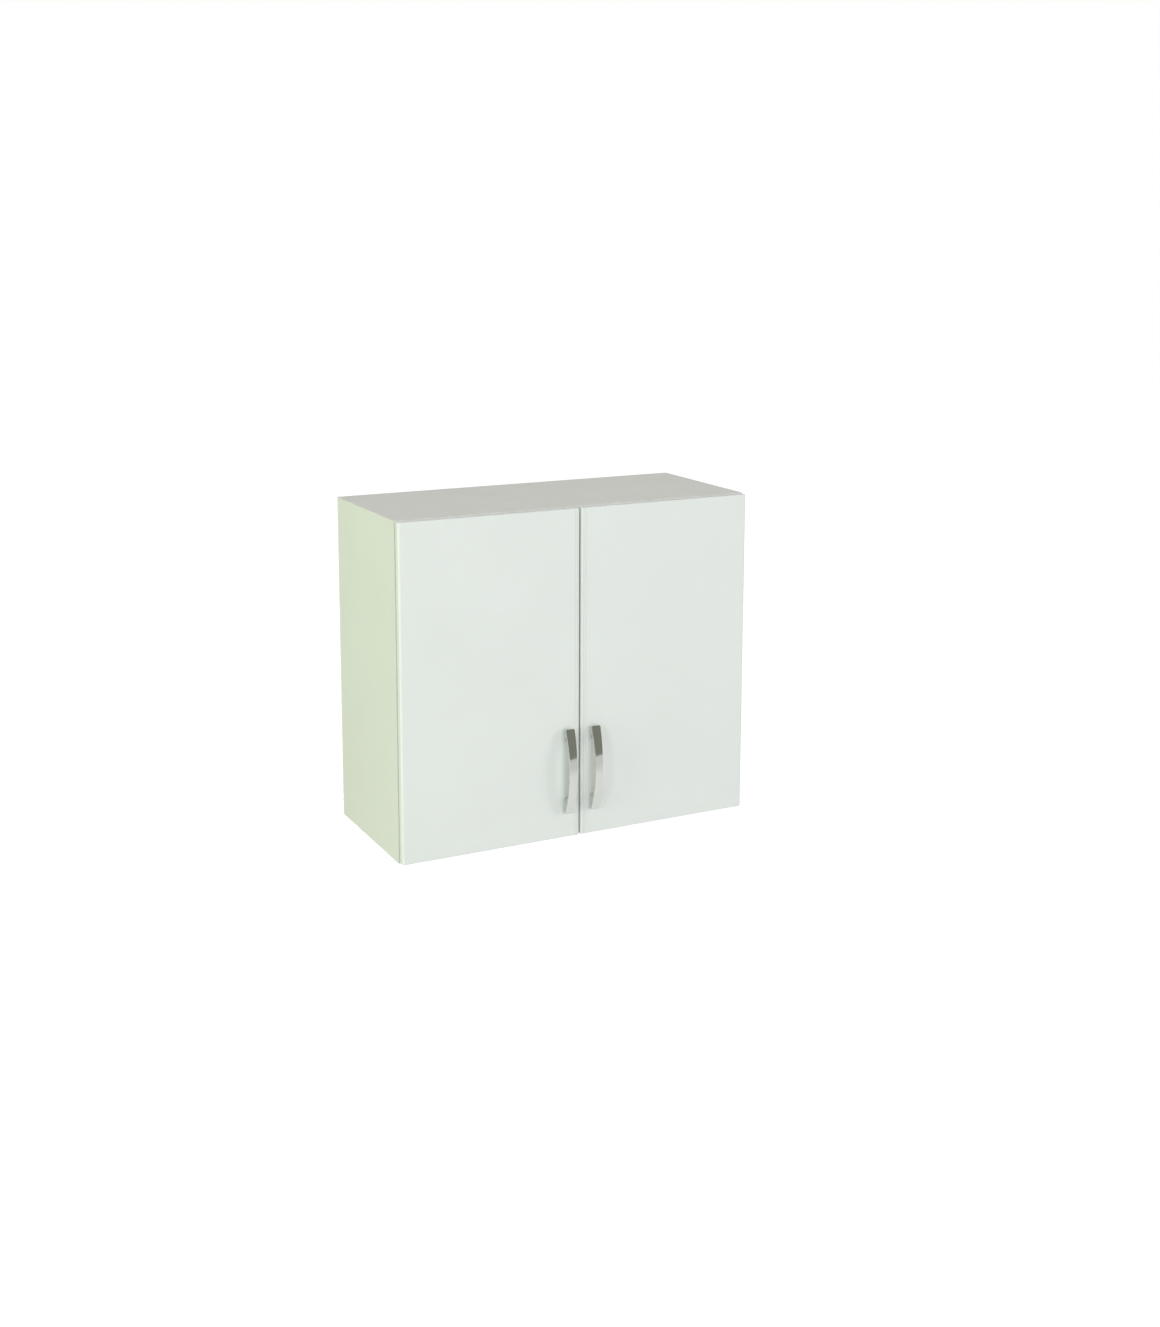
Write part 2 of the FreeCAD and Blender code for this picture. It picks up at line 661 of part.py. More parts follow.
def handle_strap():
    """The bowed strap: an arc band seen from the side, waisted seen from the front."""
    z = handle_z()
    radius = bow_radius()
    centre_y = DOOR_FRONT_Y - HANDLE_MID_OUT + radius
    half = HANDLE_LENGTH / 2
    wide = HANDLE_END_WIDTH / 2
    outer = rod((-HANDLE_X - wide, centre_y, z), (1, 0, 0), 2 * wide, radius)
    inner = rod((-HANDLE_X - wide - 1, centre_y, z), (1, 0, 0), 2 * wide + 2, radius - HANDLE_THICK)
    band = outer.cut(inner)
    x = -HANDLE_X
    waist = HANDLE_WAIST / 2
    corner = HANDLE_CORNER
    y = DOOR_FRONT_Y - HANDLE_MID_OUT - 1

    def at(dx, dz):
        return Vector(x + dx, y, z + dz)

    def arc(a, b, c):
        return Part.Arc(at(*a), at(*b), at(*c)).toShape()

    s = corner * (1 - math.sqrt(0.5))
    straight = half - corner
    front = Part.Wire([
        arc((wide, -straight), (waist, 0), (wide, straight)),
        arc((wide, straight), (wide - s, half - s), (wide - corner, half)),
        Part.makeLine(at(wide - corner, half), at(corner - wide, half)),
        arc((corner - wide, half), (s - wide, half - s), (-wide, straight)),
        arc((-wide, straight), (-waist, 0), (-wide, -straight)),
        arc((-wide, -straight), (s - wide, s - half), (corner - wide, -half)),
        Part.makeLine(at(corner - wide, -half), at(wide - corner, -half)),
        arc((wide - corner, -half), (wide - s, s - half), (wide, -straight)),
    ])
    outline = Part.Face(front).extrude(Vector(0, HANDLE_MID_OUT + 2, 0))
    strap = band.common(outline)
    strap = strap.removeSplitter().Solids[0]
    outer_edges = [edge for edge in strap.Edges if on_outer_face(edge, centre_y, z, radius)]
    return strap.makeFillet(HANDLE_EDGE_ROUND, outer_edges)


def on_outer_face(edge, centre_y, z, radius):
    """Whether both ends and the middle of an edge lie on the strap's outer face."""
    first, last = edge.ParameterRange
    for t in (first, (first + last) / 2, last):
        point = edge.valueAt(t)
        if abs(math.hypot(point.y - centre_y, point.z - z) - radius) > NEAR:
            return False
    return True


def handle():
    """Strap and two posts in one casting, tapped for the fixing screws."""
    radius = bow_radius()
    drop = radius - math.sqrt(radius ** 2 - (HANDLE_HOLES / 2) ** 2)
    reach = HANDLE_MID_OUT - drop - HANDLE_THICK / 2
    pieces = [handle_strap()]
    holes = []
    for z in handle_hole_heights():
        pieces.append(rod((-HANDLE_X, DOOR_FRONT_Y, z), (0, -1, 0), reach, HANDLE_POST_R))
        foot = Part.makeCone(HANDLE_POST_R + HANDLE_FOOT_RIM, HANDLE_POST_R, HANDLE_FOOT,
                             Vector(-HANDLE_X, DOOR_FRONT_Y, z), Vector(0, -1, 0))
        pieces.append(foot)
        holes.append(rod((-HANDLE_X, DOOR_FRONT_Y + 1, z), (0, -1, 0), M4_INTO_POST + 2, M4_R + SKIN))
    return without(joined(pieces), holes)


def handle_screws():
    """Two pan-headed machine screws from inside the door."""
    screws = []
    for z in handle_hole_heights():
        shank = rod((-HANDLE_X, DOOR_BACK_Y, z), (0, -1, 0), DOOR_THICK + M4_INTO_POST, M4_R)
        head = rod((-HANDLE_X, DOOR_BACK_Y, z), (0, 1, 0), M4_HEAD, M4_HEAD_R)
        rim = [edge for edge in head.Edges if edge.BoundBox.YMin > DOOR_BACK_Y + M4_HEAD - NEAR]
        head = head.makeFillet(M4_HEAD_ROUND, rim)
        top = DOOR_BACK_Y + M4_HEAD
        cross = [box(-HANDLE_X - a, -HANDLE_X + a, top - LARGE_CROSS_DEPTH, top + 1, z - b, z + b)
                 for a, b in (SMALL_CROSS, SMALL_CROSS[::-1])]
        screws.append(without(joined([shank, head]), cross))
    return screws


def door_bumpers():
    """Two soft dots at the door's free corners, opposite the top and bottom panels."""
    dots = []
    for z in corner_heights():
        dot = rod((-DOT_X, DOOR_BACK_Y, z), (0, 1, 0), DOT_THICK, DOT_R)
        rim = [edge for edge in dot.Edges if edge.BoundBox.YMin > DOOR_BACK_Y + DOT_THICK - NEAR]
        dots.append(dot.makeFillet(DOT_ROUND, rim))
    return dots


# ---- hinges, drawn in U, V and W about the hinge's own centre line ----

def turned(point, degrees):
    """A point or direction turned about the origin."""
    a = math.radians(degrees)
    return (point[0] * math.cos(a) - point[1] * math.sin(a),
            point[0] * math.sin(a) + point[1] * math.cos(a))


def minus(a, b):
    """Difference of two points."""
    return (a[0] - b[0], a[1] - b[1])


def plus(a, b):
    """Sum of two points."""
    return (a[0] + b[0], a[1] + b[1])


def inner_pin_track():
    """Where the arm's inner pin runs in the inner link as the door opens."""
    track = []
    for i in range(TRACK_STEPS + 1):
        door = -OPENING_DEG * i / TRACK_STEPS
        swing = turned(minus(CUP_PIN_OUTER, ARM_PIN_OUTER), OUTER_SHARE * door)
        outer_now = plus(ARM_PIN_OUTER, swing)
        inner_now = plus(outer_now, turned(minus(CUP_PIN_INNER, CUP_PIN_OUTER), door))
        seen = turned(minus(ARM_PIN_INNER, inner_now), -INNER_SHARE * door)
        track.append(plus(CUP_PIN_INNER, seen))
    return track


def inner_slot():
    """Two end points and the half width of the slot that takes that pin's small travel."""
    track = inner_pin_track()
    far = max(track, key=lambda p: math.dist(p, track[0]))
    length = math.dist(far, track[0])
    along = ((far[0] - track[0][0]) / length, (far[1] - track[0][1]) / length)
    across = (-along[1], along[0])
    ts = [minus(p, track[0])[0] * along[0] + minus(p, track[0])[1] * along[1] for p in track]
    ns = [minus(p, track[0])[0] * across[0] + minus(p, track[0])[1] * across[1] for p in track]
    mid = (max(ns) + min(ns)) / 2
    ends = []
    for t in (min(ts), max(ts)):
        ends.append((track[0][0] + along[0] * t + across[0] * mid,
                     track[0][1] + along[1] * t + across[1] * mid))
    return ends[0], ends[1], (max(ns) - min(ns)) / 2


def disc(centre, radius, w0, w1):
    """A round plate across a pin."""
    return Part.makeCylinder(radius, w1 - w0, Vector(centre[0], centre[1], w0))


def bar(a, b, half_width, w0, w1):
    """A straight stretch of link with round ends."""
    length = math.dist(a, b)
    side = ((a[1] - b[1]) / length * half_width, (b[0] - a[0]) / length * half_width)
    corners = [plus(a, side), minus(a, side), minus(b, side), plus(b, side)]
    return joined([prism(corners, "z", w0, w1), disc(a, half_width, w0, w1), disc(b, half_width, w0, w1)])


def link_plate(points, half_width, w0, w1):
    """A bent link made of straight stretches."""
    stretches = [bar(a, b, half_width, w0, w1) for a, b in zip(points, points[1:])]
    return joined(stretches)


def outer_link():
    """Two cheeks joined by the sleeve that turns on the arm's outer pin."""
    points = (CUP_PIN_OUTER,) + OUTER_BEND + (ARM_PIN_OUTER,)
    low, high = OUTER_CHEEK
    hole = PIN_R + PIN_PLAY
    pieces = [disc(ARM_PIN_OUTER, SLEEVE_R, -high, high)]
    for w0, w1 in ((low, high), (-high, -low)):
        pieces.append(link_plate(points, OUTER_HALF_WIDTH, w0, w1))
        pieces.append(disc(CUP_PIN_OUTER, OUTER_EYE_CUP_R, w0, w1))
        pieces.append(disc(ARM_PIN_OUTER, OUTER_EYE_ARM_R, w0, w1))
    return without(joined(pieces), [disc(pin, hole, -LINK_BORE, LINK_BORE)
                                    for pin in (CUP_PIN_OUTER, ARM_PIN_OUTER)])


def inner_link():
    """The thick middle link, slotted at the arm's inner pin."""
    points = (CUP_PIN_INNER,) + INNER_BEND + (ARM_PIN_INNER,)
    half = INNER_HALF_THICK
    start, end, play = inner_slot()
    hole = PIN_R + PIN_PLAY
    body = joined([
        link_plate(points, INNER_HALF_WIDTH, -half, half),
        disc(CUP_PIN_INNER, INNER_EYE_R, -half, half),
        bar(start, end, hole + play + INNER_EYE_WALL, -half, half),
    ])
    return without(body, [disc(CUP_PIN_INNER, hole, -LINK_BORE, LINK_BORE),
                          bar(start, end, hole + play, -LINK_BORE, LINK_BORE)])


def hinge_cup():
    """The cup with its flange, its pocket for the links and its pin holes."""
    top = -DOOR_GAP
    shell = rod((CUP_U, top, 0), (0, -1, 0), CUP_DEPTH - CUP_SHELL_PLAY, CUP_R - SKIN)
    pieces = [shell, rod((CUP_U, top, 0), (0, 1, 0), CUP_FLANGE, CUP_R + CUP_RIM)]
    ear = CUP_EAR_R
    for side in (-1, 1):
        pieces.append(rod((CUP_SCREW_U, top, side * CUP_SCREW_W), (0, 1, 0), CUP_FLANGE, ear))
    neck = box(CUP_SCREW_U - ear, CUP_SCREW_U + ear, top, top + CUP_FLANGE, -CUP_SCREW_W, CUP_SCREW_W)
    pieces.append(neck)
    cuts = [box(POCKET_U[0], POCKET_U[1], CUP_FLOOR_V, 2, -POCKET_W, POCKET_W)]
    for side in (-1, 1):
        cuts.append(rod((CUP_SCREW_U, top - 1, side * CUP_SCREW_W), (0, 1, 0), CUP_FLANGE + 2,
                        CUP_SCREW_R + CUP_SHELL_PLAY))
    for pin in (CUP_PIN_OUTER, CUP_PIN_INNER):
        cuts.append(disc(pin, PIN_R + SKIN, -CUP_PIN_BORE, CUP_PIN_BORE))
    return without(joined(pieces), cuts)


def cup_pins():
    """A through pin for the inner link and two short pins for the outer link's cheeks."""
    pins = [disc(CUP_PIN_INNER, PIN_R, -CUP_PIN_END, CUP_PIN_END)]
    pins.append(disc(CUP_PIN_OUTER, PIN_R, CUP_PIN_START, CUP_PIN_END))
    pins.append(disc(CUP_PIN_OUTER, PIN_R, -CUP_PIN_END, -CUP_PIN_START))
    return pins


def cup_screws():
    """Two countersunk screws through the cup's flange."""
    screws = []
    for side in (-1, 1):
        w = side * CUP_SCREW_W
        top = -DOOR_GAP + CUP_FLANGE
        shank = rod((CUP_SCREW_U, top, w), (0, -1, 0), CUP_SCREW_LENGTH, CUP_SCREW_R)
        head = Part.makeCone(*CUP_SCREW_HEAD_R, CUP_SCREW_HEAD, Vector(CUP_SCREW_U, top, w),
                             Vector(0, 1, 0))
        screws.append(joined([shank, head]))
    return screws


def hinge_arm():
    """A folded channel: a nose that carries both arm pins, cranked down to the plate's rail."""
    low, high = ARM_CHEEK
    top = RAIL_TOP_U + RAIL_PLAY + ARM_WEB
    outline = list(NOSE_START) + [
               (NOSE_TOP_U, NOSE_REAR_V), (top, CRANK_REAR_V), (top, ARM_REAR_V),
               (ARM_LOW_U, ARM_REAR_V), (ARM_LOW_U, CRANK_REAR_V - ARM_FOLD),
               (NOSE_START[0][0], NOSE_REAR_V - ARM_FOLD)]
    body = prism(outline, "z", -high, high)
    under = ARM_LOW_U - 6
    hollow = [(under, -1.0), (NOSE_TOP_U - ARM_WEB, -1.0), (NOSE_TOP_U - ARM_WEB, NOSE_REAR_V - 0.5),
              (top - ARM_WEB, CRANK_REAR_V - 0.5), (top - ARM_WEB, ARM_REAR_V + 1),
              (under, ARM_REAR_V + 1)]
    cuts = [prism(hollow, "z", -low, low)]
    for pin in (ARM_PIN_OUTER, ARM_PIN_INNER):
        cuts.append(disc(pin, PIN_R + SKIN, -ARM_PIN_BORE, ARM_PIN_BORE))
    for v in (ARM_SCREW_V, ARM_ADJUST_V):
        cuts.append(rod((ARM_HOLE_FROM_U, v, 0), (1, 0, 0), ARM_HOLE_LENGTH, ARM_HOLE_R))
    return without(body, cuts)


def arm_pins():
    """The two pins riveted through the arm's cheeks."""
    return [disc(pin, PIN_R, -ARM_PIN_END, ARM_PIN_END) for pin in (ARM_PIN_OUTER, ARM_PIN_INNER)]


def mounting_plate():
    """A winged plate on the side panel with the rail that the arm clips over."""
    wing = box(BOARD, BOARD + WING_THICK, WING_V - WING_HALF, WING_V + WING_HALF,
               -WING_SCREW_W, WING_SCREW_W)
    pieces = [wing]
    for side in (-1, 1):
        pieces.append(rod((BOARD, WING_V, side * WING_SCREW_W), (1, 0, 0), WING_THICK, WING_HALF))
    pieces.append(box(BOARD, RAIL_TOP_U, RAIL_V[0], RAIL_V[1], -RAIL_HALF_W, RAIL_HALF_W))
    cuts = []
    for side in (-1, 1):
        cuts.append(rod((BOARD - 1, WING_V, side * WING_SCREW_W), (1, 0, 0), WING_THICK + 2,
                        SHELF_HOLE_R + WING_HOLE_PLAY))
    for v in (ARM_SCREW_V, ARM_ADJUST_V):
        cuts.append(rod((RAIL_TOP_U - RAIL_BORE_BELOW, v, 0), (1, 0, 0), RAIL_BORE, SHELF_HOLE_R + SKIN))
    return without(joined(pieces), cuts)


def arm_screws():
    """The screw that fixes the arm to the rail and the one that shifts the door sideways."""
    top = RAIL_TOP_U + RAIL_PLAY + ARM_WEB
    fixing = joined([rod((top, ARM_SCREW_V, 0), (-1, 0, 0), ARM_SCREW_LENGTH, SHELF_HOLE_R),
                     rod((top, ARM_SCREW_V, 0), (1, 0, 0), ARM_SCREW_HEAD, ARM_SCREW_HEAD_R)])
    shift = rod((top + ARM_SHIFT_PROUD, ARM_ADJUST_V, 0), (-1, 0, 0), ARM_SCREW_LENGTH, SHELF_HOLE_R)
    crosses = []
    for v, high in ((ARM_SCREW_V, top + ARM_SCREW_HEAD), (ARM_ADJUST_V, top + ARM_SHIFT_PROUD)):
        for half_v, half_w in (SMALL_CROSS, SMALL_CROSS[::-1]):
            crosses.append(box(high - SMALL_CROSS_DEPTH, high + 1, v - half_v, v + half_v, -half_w, half_w))
    return [without(fixing, crosses[:2]), without(shift, crosses[2:])]


def plate_screws():
    """Two round-headed screws through the mounting plate's wings into the side."""
    screws = []
    face = BOARD + WING_THICK
    for side in (-1, 1):
        w = side * WING_SCREW_W
        shank = rod((face, WING_V, w), (-1, 0, 0), WING_SCREW_LENGTH, SHELF_HOLE_R - SKIN)
        head = Part.makeCone(*WING_SCREW_HEAD_R, WING_SCREW_HEAD, Vector(face, WING_V, w), Vector(1, 0, 0))
        top = face + WING_SCREW_HEAD
        cross = [box(top - SMALL_CROSS_DEPTH, top + 1, WING_V - a, WING_V + a, w - b, w + b)
                 for a, b in (SMALL_CROSS, SMALL_CROSS[::-1])]
        screws.append(without(joined([shank, head]), cross))
    return screws


def placed(shape, level):
    """Move a hinge piece from its own frame to the left side of the cabinet."""
    moved = shape.copy()
    moved.translate(Vector(-HALF, FRONT_Y, hinge_heights()[level]))
    return moved


def hinges():
    """Four hinges: a piece for each link, and the small fastenings in groups."""
    levels = ("upper", "lower")
    makers = {
        "hinge_plate": mounting_plate(),
        "hinge_arm": hinge_arm(),
        "hinge_cup": hinge_cup(),
        "outer_link": outer_link(),
        "inner_link": inner_link(),
    }
    for level in levels:
        for name, shape in makers.items():
            save_pair(name + "_" + level, placed(shape, level))
    fixed = {
        "hinge_plate_screws": plate_screws(),
        "hinge_arm_screws": arm_screws(),
        "hinge_arm_pins": arm_pins(),
    }
    for name, shapes in fixed.items():
        left = [placed(shape, level) for level in levels for shape in shapes]
        save_group(name, left + [mirrored(shape) for shape in left])
    moving = {"hinge_cup_pins": cup_pins(), "hinge_cup_screws": cup_screws()}
    for name, shapes in moving.items():
        save_pair(name, Part.makeCompound([placed(shape, level) for level in levels for shape in shapes]))


def carcass():
    """Boards, bands and the fittings that hold them together."""
    save_pair("side_panel", side_panel())
    save("top_panel", cross_panel(TOP_Z - BOARD, -1))
    save("bottom_panel", cross_panel(BOTTOM_Z, 1))
    save("back_panel", back_panel())
    save("shelf", shelf_board())
    edge_bands()
    corner_fittings()
    save_group("shelf_supports", shelf_supports())


def hangers():
    """Both hangers and both wall plates."""
    save_pair("hanger_housing", hanger_housing())
    save_pair("hanger_hook", hanger_hook())
    save_pair("wall_plate", wall_plate())
    adjust = [adjust_screw(z) for z in adjust_screw_heights()]
    save_group("hanger_adjust_screws", adjust + [mirrored(screw) for screw in adjust])
    fixing = [housing_screw(y, z) for y, z in housing_screw_places()]
    save_group("hanger_fixing_screws", fixing + [mirrored(screw) for screw in fixing])


def doors():
    """Both doors with their handles and small parts."""
    save_pair("door", left_door())
    save_pair("handle", handle())
    save_pair("handle_screws", Part.makeCompound(handle_screws()))
    save_pair("door_bumpers", Part.makeCompound(door_bumpers()))


os.makedirs("parts", exist_ok=True)
carcass()
hangers()
doors()
hinges()
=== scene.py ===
"""Finishes, small fittings and a plain studio for a hanging wall cabinet with two doors."""

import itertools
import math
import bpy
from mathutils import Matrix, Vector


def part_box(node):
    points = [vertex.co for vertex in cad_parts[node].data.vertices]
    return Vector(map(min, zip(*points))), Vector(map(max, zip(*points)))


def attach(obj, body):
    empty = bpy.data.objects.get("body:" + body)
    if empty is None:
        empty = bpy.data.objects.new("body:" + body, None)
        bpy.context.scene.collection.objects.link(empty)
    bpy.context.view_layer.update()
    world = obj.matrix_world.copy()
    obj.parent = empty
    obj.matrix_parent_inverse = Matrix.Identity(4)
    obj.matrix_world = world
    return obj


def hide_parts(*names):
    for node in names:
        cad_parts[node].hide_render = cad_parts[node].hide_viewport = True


bl_info = {
    "name": "Wall Cabinet",
    "version": (1, 0, 0),
    "blender": (4, 5, 0),
    "location": "3D View > Sidebar > Cabinet",
    "description": "Finishes, handles, fittings and studio for a two-door wall cabinet",
    "category": "Object",
}

import bmesh
import bpy
from mathutils import Matrix, Vector

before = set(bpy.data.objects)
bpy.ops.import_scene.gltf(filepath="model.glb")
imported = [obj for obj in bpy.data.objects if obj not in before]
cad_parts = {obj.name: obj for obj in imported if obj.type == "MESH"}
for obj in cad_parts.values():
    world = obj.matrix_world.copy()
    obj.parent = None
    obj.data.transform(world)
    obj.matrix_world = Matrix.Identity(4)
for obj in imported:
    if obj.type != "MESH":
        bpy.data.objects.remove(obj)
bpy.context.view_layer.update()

MM = 0.001
SIDES = ("left", "right")
LEVELS = ("upper", "lower")
REARWARD = (0, 1, 0)
WHITE = (1.0, 1.0, 1.0)


# ---- places read from the frame ----

def low(node):
    """Lowest corner of a CAD node."""
    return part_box(node)[0]


def high(node):
    """Highest corner of a CAD node."""
    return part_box(node)[1]


def centre(node):
    """Middle of a CAD node's box."""
    return (low(node) + high(node)) / 2


def islands(node):
    """Lowest and highest corner of each separate solid in a CAD node."""
    mesh = bmesh.new()
    mesh.from_mesh(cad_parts[node].data)
    bmesh.ops.remove_doubles(mesh, verts=mesh.verts, dist=2e-6)
    left_over = set(mesh.verts)
    boxes = []
    while left_over:
        stack = [left_over.pop()]
        found = []
        while stack:
            vert = stack.pop()
            found.append(vert.co.copy())
            for edge in vert.link_edges:
                other = edge.other_vert(vert)
                if other in left_over:
                    left_over.remove(other)
                    stack.append(other)
        lowest = Vector([min(co[i] for co in found) for i in range(3)])
        highest = Vector([max(co[i] for co in found) for i in range(3)])
        boxes.append((lowest, highest))
    mesh.free()
    return sorted(boxes, key=lambda b: tuple(round(v, 4) for v in (*b[0], *b[1])))


# ---- sizes and colours that a user would change ----

def colour(name, description, default):
    """A base colour."""
    return bpy.props.FloatVectorProperty(
        name=name, description=description, default=default, size=3, min=0.0, max=1.0, subtype="COLOR"
    )


def measure(name, description, millimetres):
    """A length, shown in the scene's own units."""
    return bpy.props.FloatProperty(
        name=name, description=description, default=millimetres * MM, min=0.0, precision=5, unit="LENGTH"
    )


def power(name, description, default):
    """A lamp's power."""
    return bpy.props.FloatProperty(
        name=name, description=description, default=default, min=0.0, unit="POWER"
    )


def brightness(name, description, default):
    """A share of full white."""
    return bpy.props.FloatProperty(name=name, description=description, default=default, min=0.0)


def turn(name, description, degrees):
    """An angle."""
    return bpy.props.FloatProperty(
        name=name, description=description, default=math.radians(degrees), subtype="ANGLE", unit="ROTATION"
    )


class CabinetColours(bpy.types.PropertyGroup):
    """Base colours of the cabinet's finishes."""

    board: colour("Board", "Melamine on the carcass boards", (0.81, 0.835, 0.77))
    band: colour("Edge band", "Strip on the carcass's front edges", (0.81, 0.835, 0.775))
    door: colour("Door", "Laminate on the doors", (0.810, 0.850, 0.818))
    chip: colour("Chip core", "Light chips of the board's raw core", (0.52, 0.36, 0.20))
    chip_dark: colour("Dark chips", "Dark chips of the board's raw core", (0.24, 0.14, 0.065))
    back: colour("Back", "Outer face of the thin back panel", (0.40, 0.265, 0.155))
    chrome: colour("Chrome", "Plating of the handles", (0.745, 0.765, 0.725))
    nickel: colour("Nickel", "Plating of the hinges", (0.62, 0.60, 0.56))
    zinc: colour("Zinc", "Plating of screws, hooks and wall plates", (0.64, 0.66, 0.69))
    casting: colour("Casting", "Bare cast zinc of the cams", (0.42, 0.42, 0.42))
    plastic: colour("Plastic", "Moulded hanger housings and caps", (0.83, 0.83, 0.80))
    beech: colour("Beech", "Dowels", (0.56, 0.38, 0.20))
    dot: colour("Soft dot", "Clear door dots", (0.80, 0.84, 0.84))
    dust: colour("Dust", "Film on faces that look up", (0.52, 0.51, 0.48))
    floor: colour("Floor", "Studio floor", (0.30, 0.30, 0.30))


class HandleSizes(bpy.types.PropertyGroup):
    """Sizes of a bow handle."""

    length: measure("Length", "End to end", 180)
    holes: measure("Hole spacing", "Distance between the two screws", 128)
    end_out: measure("End projection", "Outer face to door at the ends", 14)
    mid_out: measure("Middle projection", "Outer face to door at the middle", 31)
    thick: measure("Strap thickness", "Thickness of the bowed strap", 5)
    width: measure("End width", "Width of the strap at its ends", 21)
    waist: measure("Waist", "Width of the strap at its middle", 18)
    edge: measure("Edge round", "Radius of the strap's long edges", 1.5)
    corner: measure("Corner round", "Radius of the strap's four corners", 2)
    post: measure("Post radius", "Radius of the two posts", 4.75)
    foot: measure("Foot height", "Height of the flare where a post meets the door", 1.2)
    flare: measure("Foot flare", "How far a post's foot spreads past the post", 0.8)


class FittingSizes(bpy.types.PropertyGroup):
    """Sizes of the screws and caps."""

    handle_shank: measure("Handle screw", "Shank radius of the handle screws", 2.0)
    handle_recess: measure("Handle screw recess", "Half length of the cross in a handle screw", 2.0)
    plate_head: measure("Plate screw head", "Head radius of the hinge plate screws", 4.4)
    plate_rise: measure("Plate screw rise", "Head height of the hinge plate screws", 1.8)
    plate_shank: measure("Plate screw", "Shank radius of the hinge plate screws", 2.45)
    plate_length: measure("Plate screw length", "Length of the hinge plate screws in the side", 12.0)
    cup_head: measure("Cup screw head", "Head radius of the hinge cup screws", 3.2)
    cup_rise: measure("Cup screw rise", "Head height of the hinge cup screws", 0.5)
    cup_shank: measure("Cup screw", "Shank radius of the hinge cup screws", 1.75)
    cup_length: measure("Cup screw length", "Length of the hinge cup screws in the door", 11.0)
    recess: measure("Cross recess", "Half length of the cross in a hinge screw", 2.0)
    cap: measure("Cap radius", "Radius of the caps over the cams", 8.5)
    cap_rise: measure("Cap thickness", "How far a cap stands off the board", 1.0)


class StudioSettings(bpy.types.PropertyGroup):
    """Floor, lamps and camera."""

    drop: measure("Hanging height", "From the floor to the cabinet's underside", 1400)
    floor_glow: brightness("Floor glow", "Light that the pale floor gives to the cabinet", 0.22)
    floor_mirrored: brightness("Mirrored floor", "Brightness of the floor in shiny metal", 0.62)
    far_mirrored: brightness("Mirrored distance", "Brightness of the floor behind, in metal", 0.10)
    below: colour("Lower room", "Light of the room below the horizon, in front", (0.80, 0.80, 0.80))
    sky: colour("Upper room", "Light of the room above the horizon", (0.240, 0.244, 0.212))
    left_power: power("Left lamp", "Power of the small lamp at the front left", 41.0)
    right_power: power("Right lamp", "Power of the soft lamp at the front right", 60.0)
    front_power: power("Front lamp", "Power of the wide lamp in front", 86.0)
    side_power: power("Side lamp", "Power of the large lamp at the left", 66.0)
    top_power: power("Top lamp", "Power of the large lamp overhead", 60.0)
    azimuth: turn("Azimuth", "Turn of the camera about the vertical", -27.1244)
    elevation: turn("Elevation", "How far the camera looks down", 9.2878)
    roll: turn("Roll", "Small turn about the line of sight", 0.1467)
    lens: bpy.props.FloatProperty(
        name="Focal length", description="Camera lens for a 36 mm wide frame", default=46.58, min=1.0,
        unit="CAMERA",
    )
    rise: bpy.props.FloatProperty(
        name="Vertical shift", description="Lens shift as a share of the frame's long side",
        default=-0.1232, min=-0.5, max=0.5,
    )
    eye: bpy.props.FloatVectorProperty(
        name="Camera place", description="Where the camera stands, in the cabinet's frame",
        default=(-1.5773, -3.4233, 0.6554), size=3, subtype="XYZ", unit="LENGTH",
    )


# ---- node helpers ----

def add(tree, kind, inputs=None, **settings):
    """One node with its settings and constant inputs."""
    node = tree.nodes.new(kind)
    for key, value in settings.items():
        setattr(node, key, value)
    for key, value in (inputs or {}).items():
        if isinstance(value, bpy.types.NodeSocket):
            tree.links.new(value, node.inputs[key])
        else:
            node.inputs[key].default_value = value
    return node


def socket_type(name, default):
    """Type of a group's socket, told from its name or its default."""
    if name in ("Geometry", "Material"):
        return "NodeSocket" + name
    if isinstance(default, tuple):
        return "NodeSocketColor" if len(default) == 4 else "NodeSocketVector"
    return "NodeSocketFloat"


def new_group(name, kind, inputs, outputs):
    """An empty node group with named inputs and outputs; returns the tree, its inputs and its end."""
    tree = bpy.data.node_groups.new(name, kind)
    for in_out, sockets in (("INPUT", inputs), ("OUTPUT", outputs)):
        for key, default in sockets.items():
            made = tree.interface.new_socket(
                name=key, in_out=in_out, socket_type=socket_type(key, default))
            if default is not None:
                made.default_value = default
    return tree, tree.nodes.new("NodeGroupInput").outputs, tree.nodes.new("NodeGroupOutput")


def give(tree, end, **results):
    """Send results to the sockets of a group's end, or of a shader."""
    for key, result in results.items():
        tree.links.new(result, end.inputs[key.replace("_", " ")])


def maths(tree, operation, a, b=0.0, clamp=False):
    """Output of one math node; either input may be a socket or a number."""
    return add(tree, "ShaderNodeMath", {0: a, 1: b}, operation=operation, use_clamp=clamp).outputs[0]


def times(tree, a, b, clamp=False):
    """Product of two sockets or numbers."""
    return maths(tree, "MULTIPLY", a, b, clamp)


def plus(tree, a, b):
    """Sum of two sockets or numbers."""
    return maths(tree, "ADD", a, b)


def minus(tree, a, b, clamp=False):
    """First less second."""
    return maths(tree, "SUBTRACT", a, b, clamp)


def over(tree, a, b):
    """First divided by second."""
    return maths(tree, "DIVIDE", a, b)


def vector_maths(tree, operation, a, b, result="Vector"):
    """Output of one vector math node."""
    return add(tree, "ShaderNodeVectorMath", {0: a, 1: b}, operation=operation).outputs[result]


def ramp(tree, value, start, end, low_out=0.0, high_out=1.0):
    """A value taken from one range to another and clamped."""
    return add(tree, "ShaderNodeMapRange", {
        "Value": value, "From Min": start, "From Max": end, "To Min": low_out, "To Max": high_out,
    }).outputs["Result"]


def blend_colours(tree, share, first, second):
    """One colour fading to another."""
    inputs = {0: share}
    for index, value in ((6, first), (7, second)):
        inputs[index] = value if isinstance(value, bpy.types.NodeSocket) else (*value, 1.0)
    return add(tree, "ShaderNodeMix", inputs, data_type="RGBA").outputs[2]


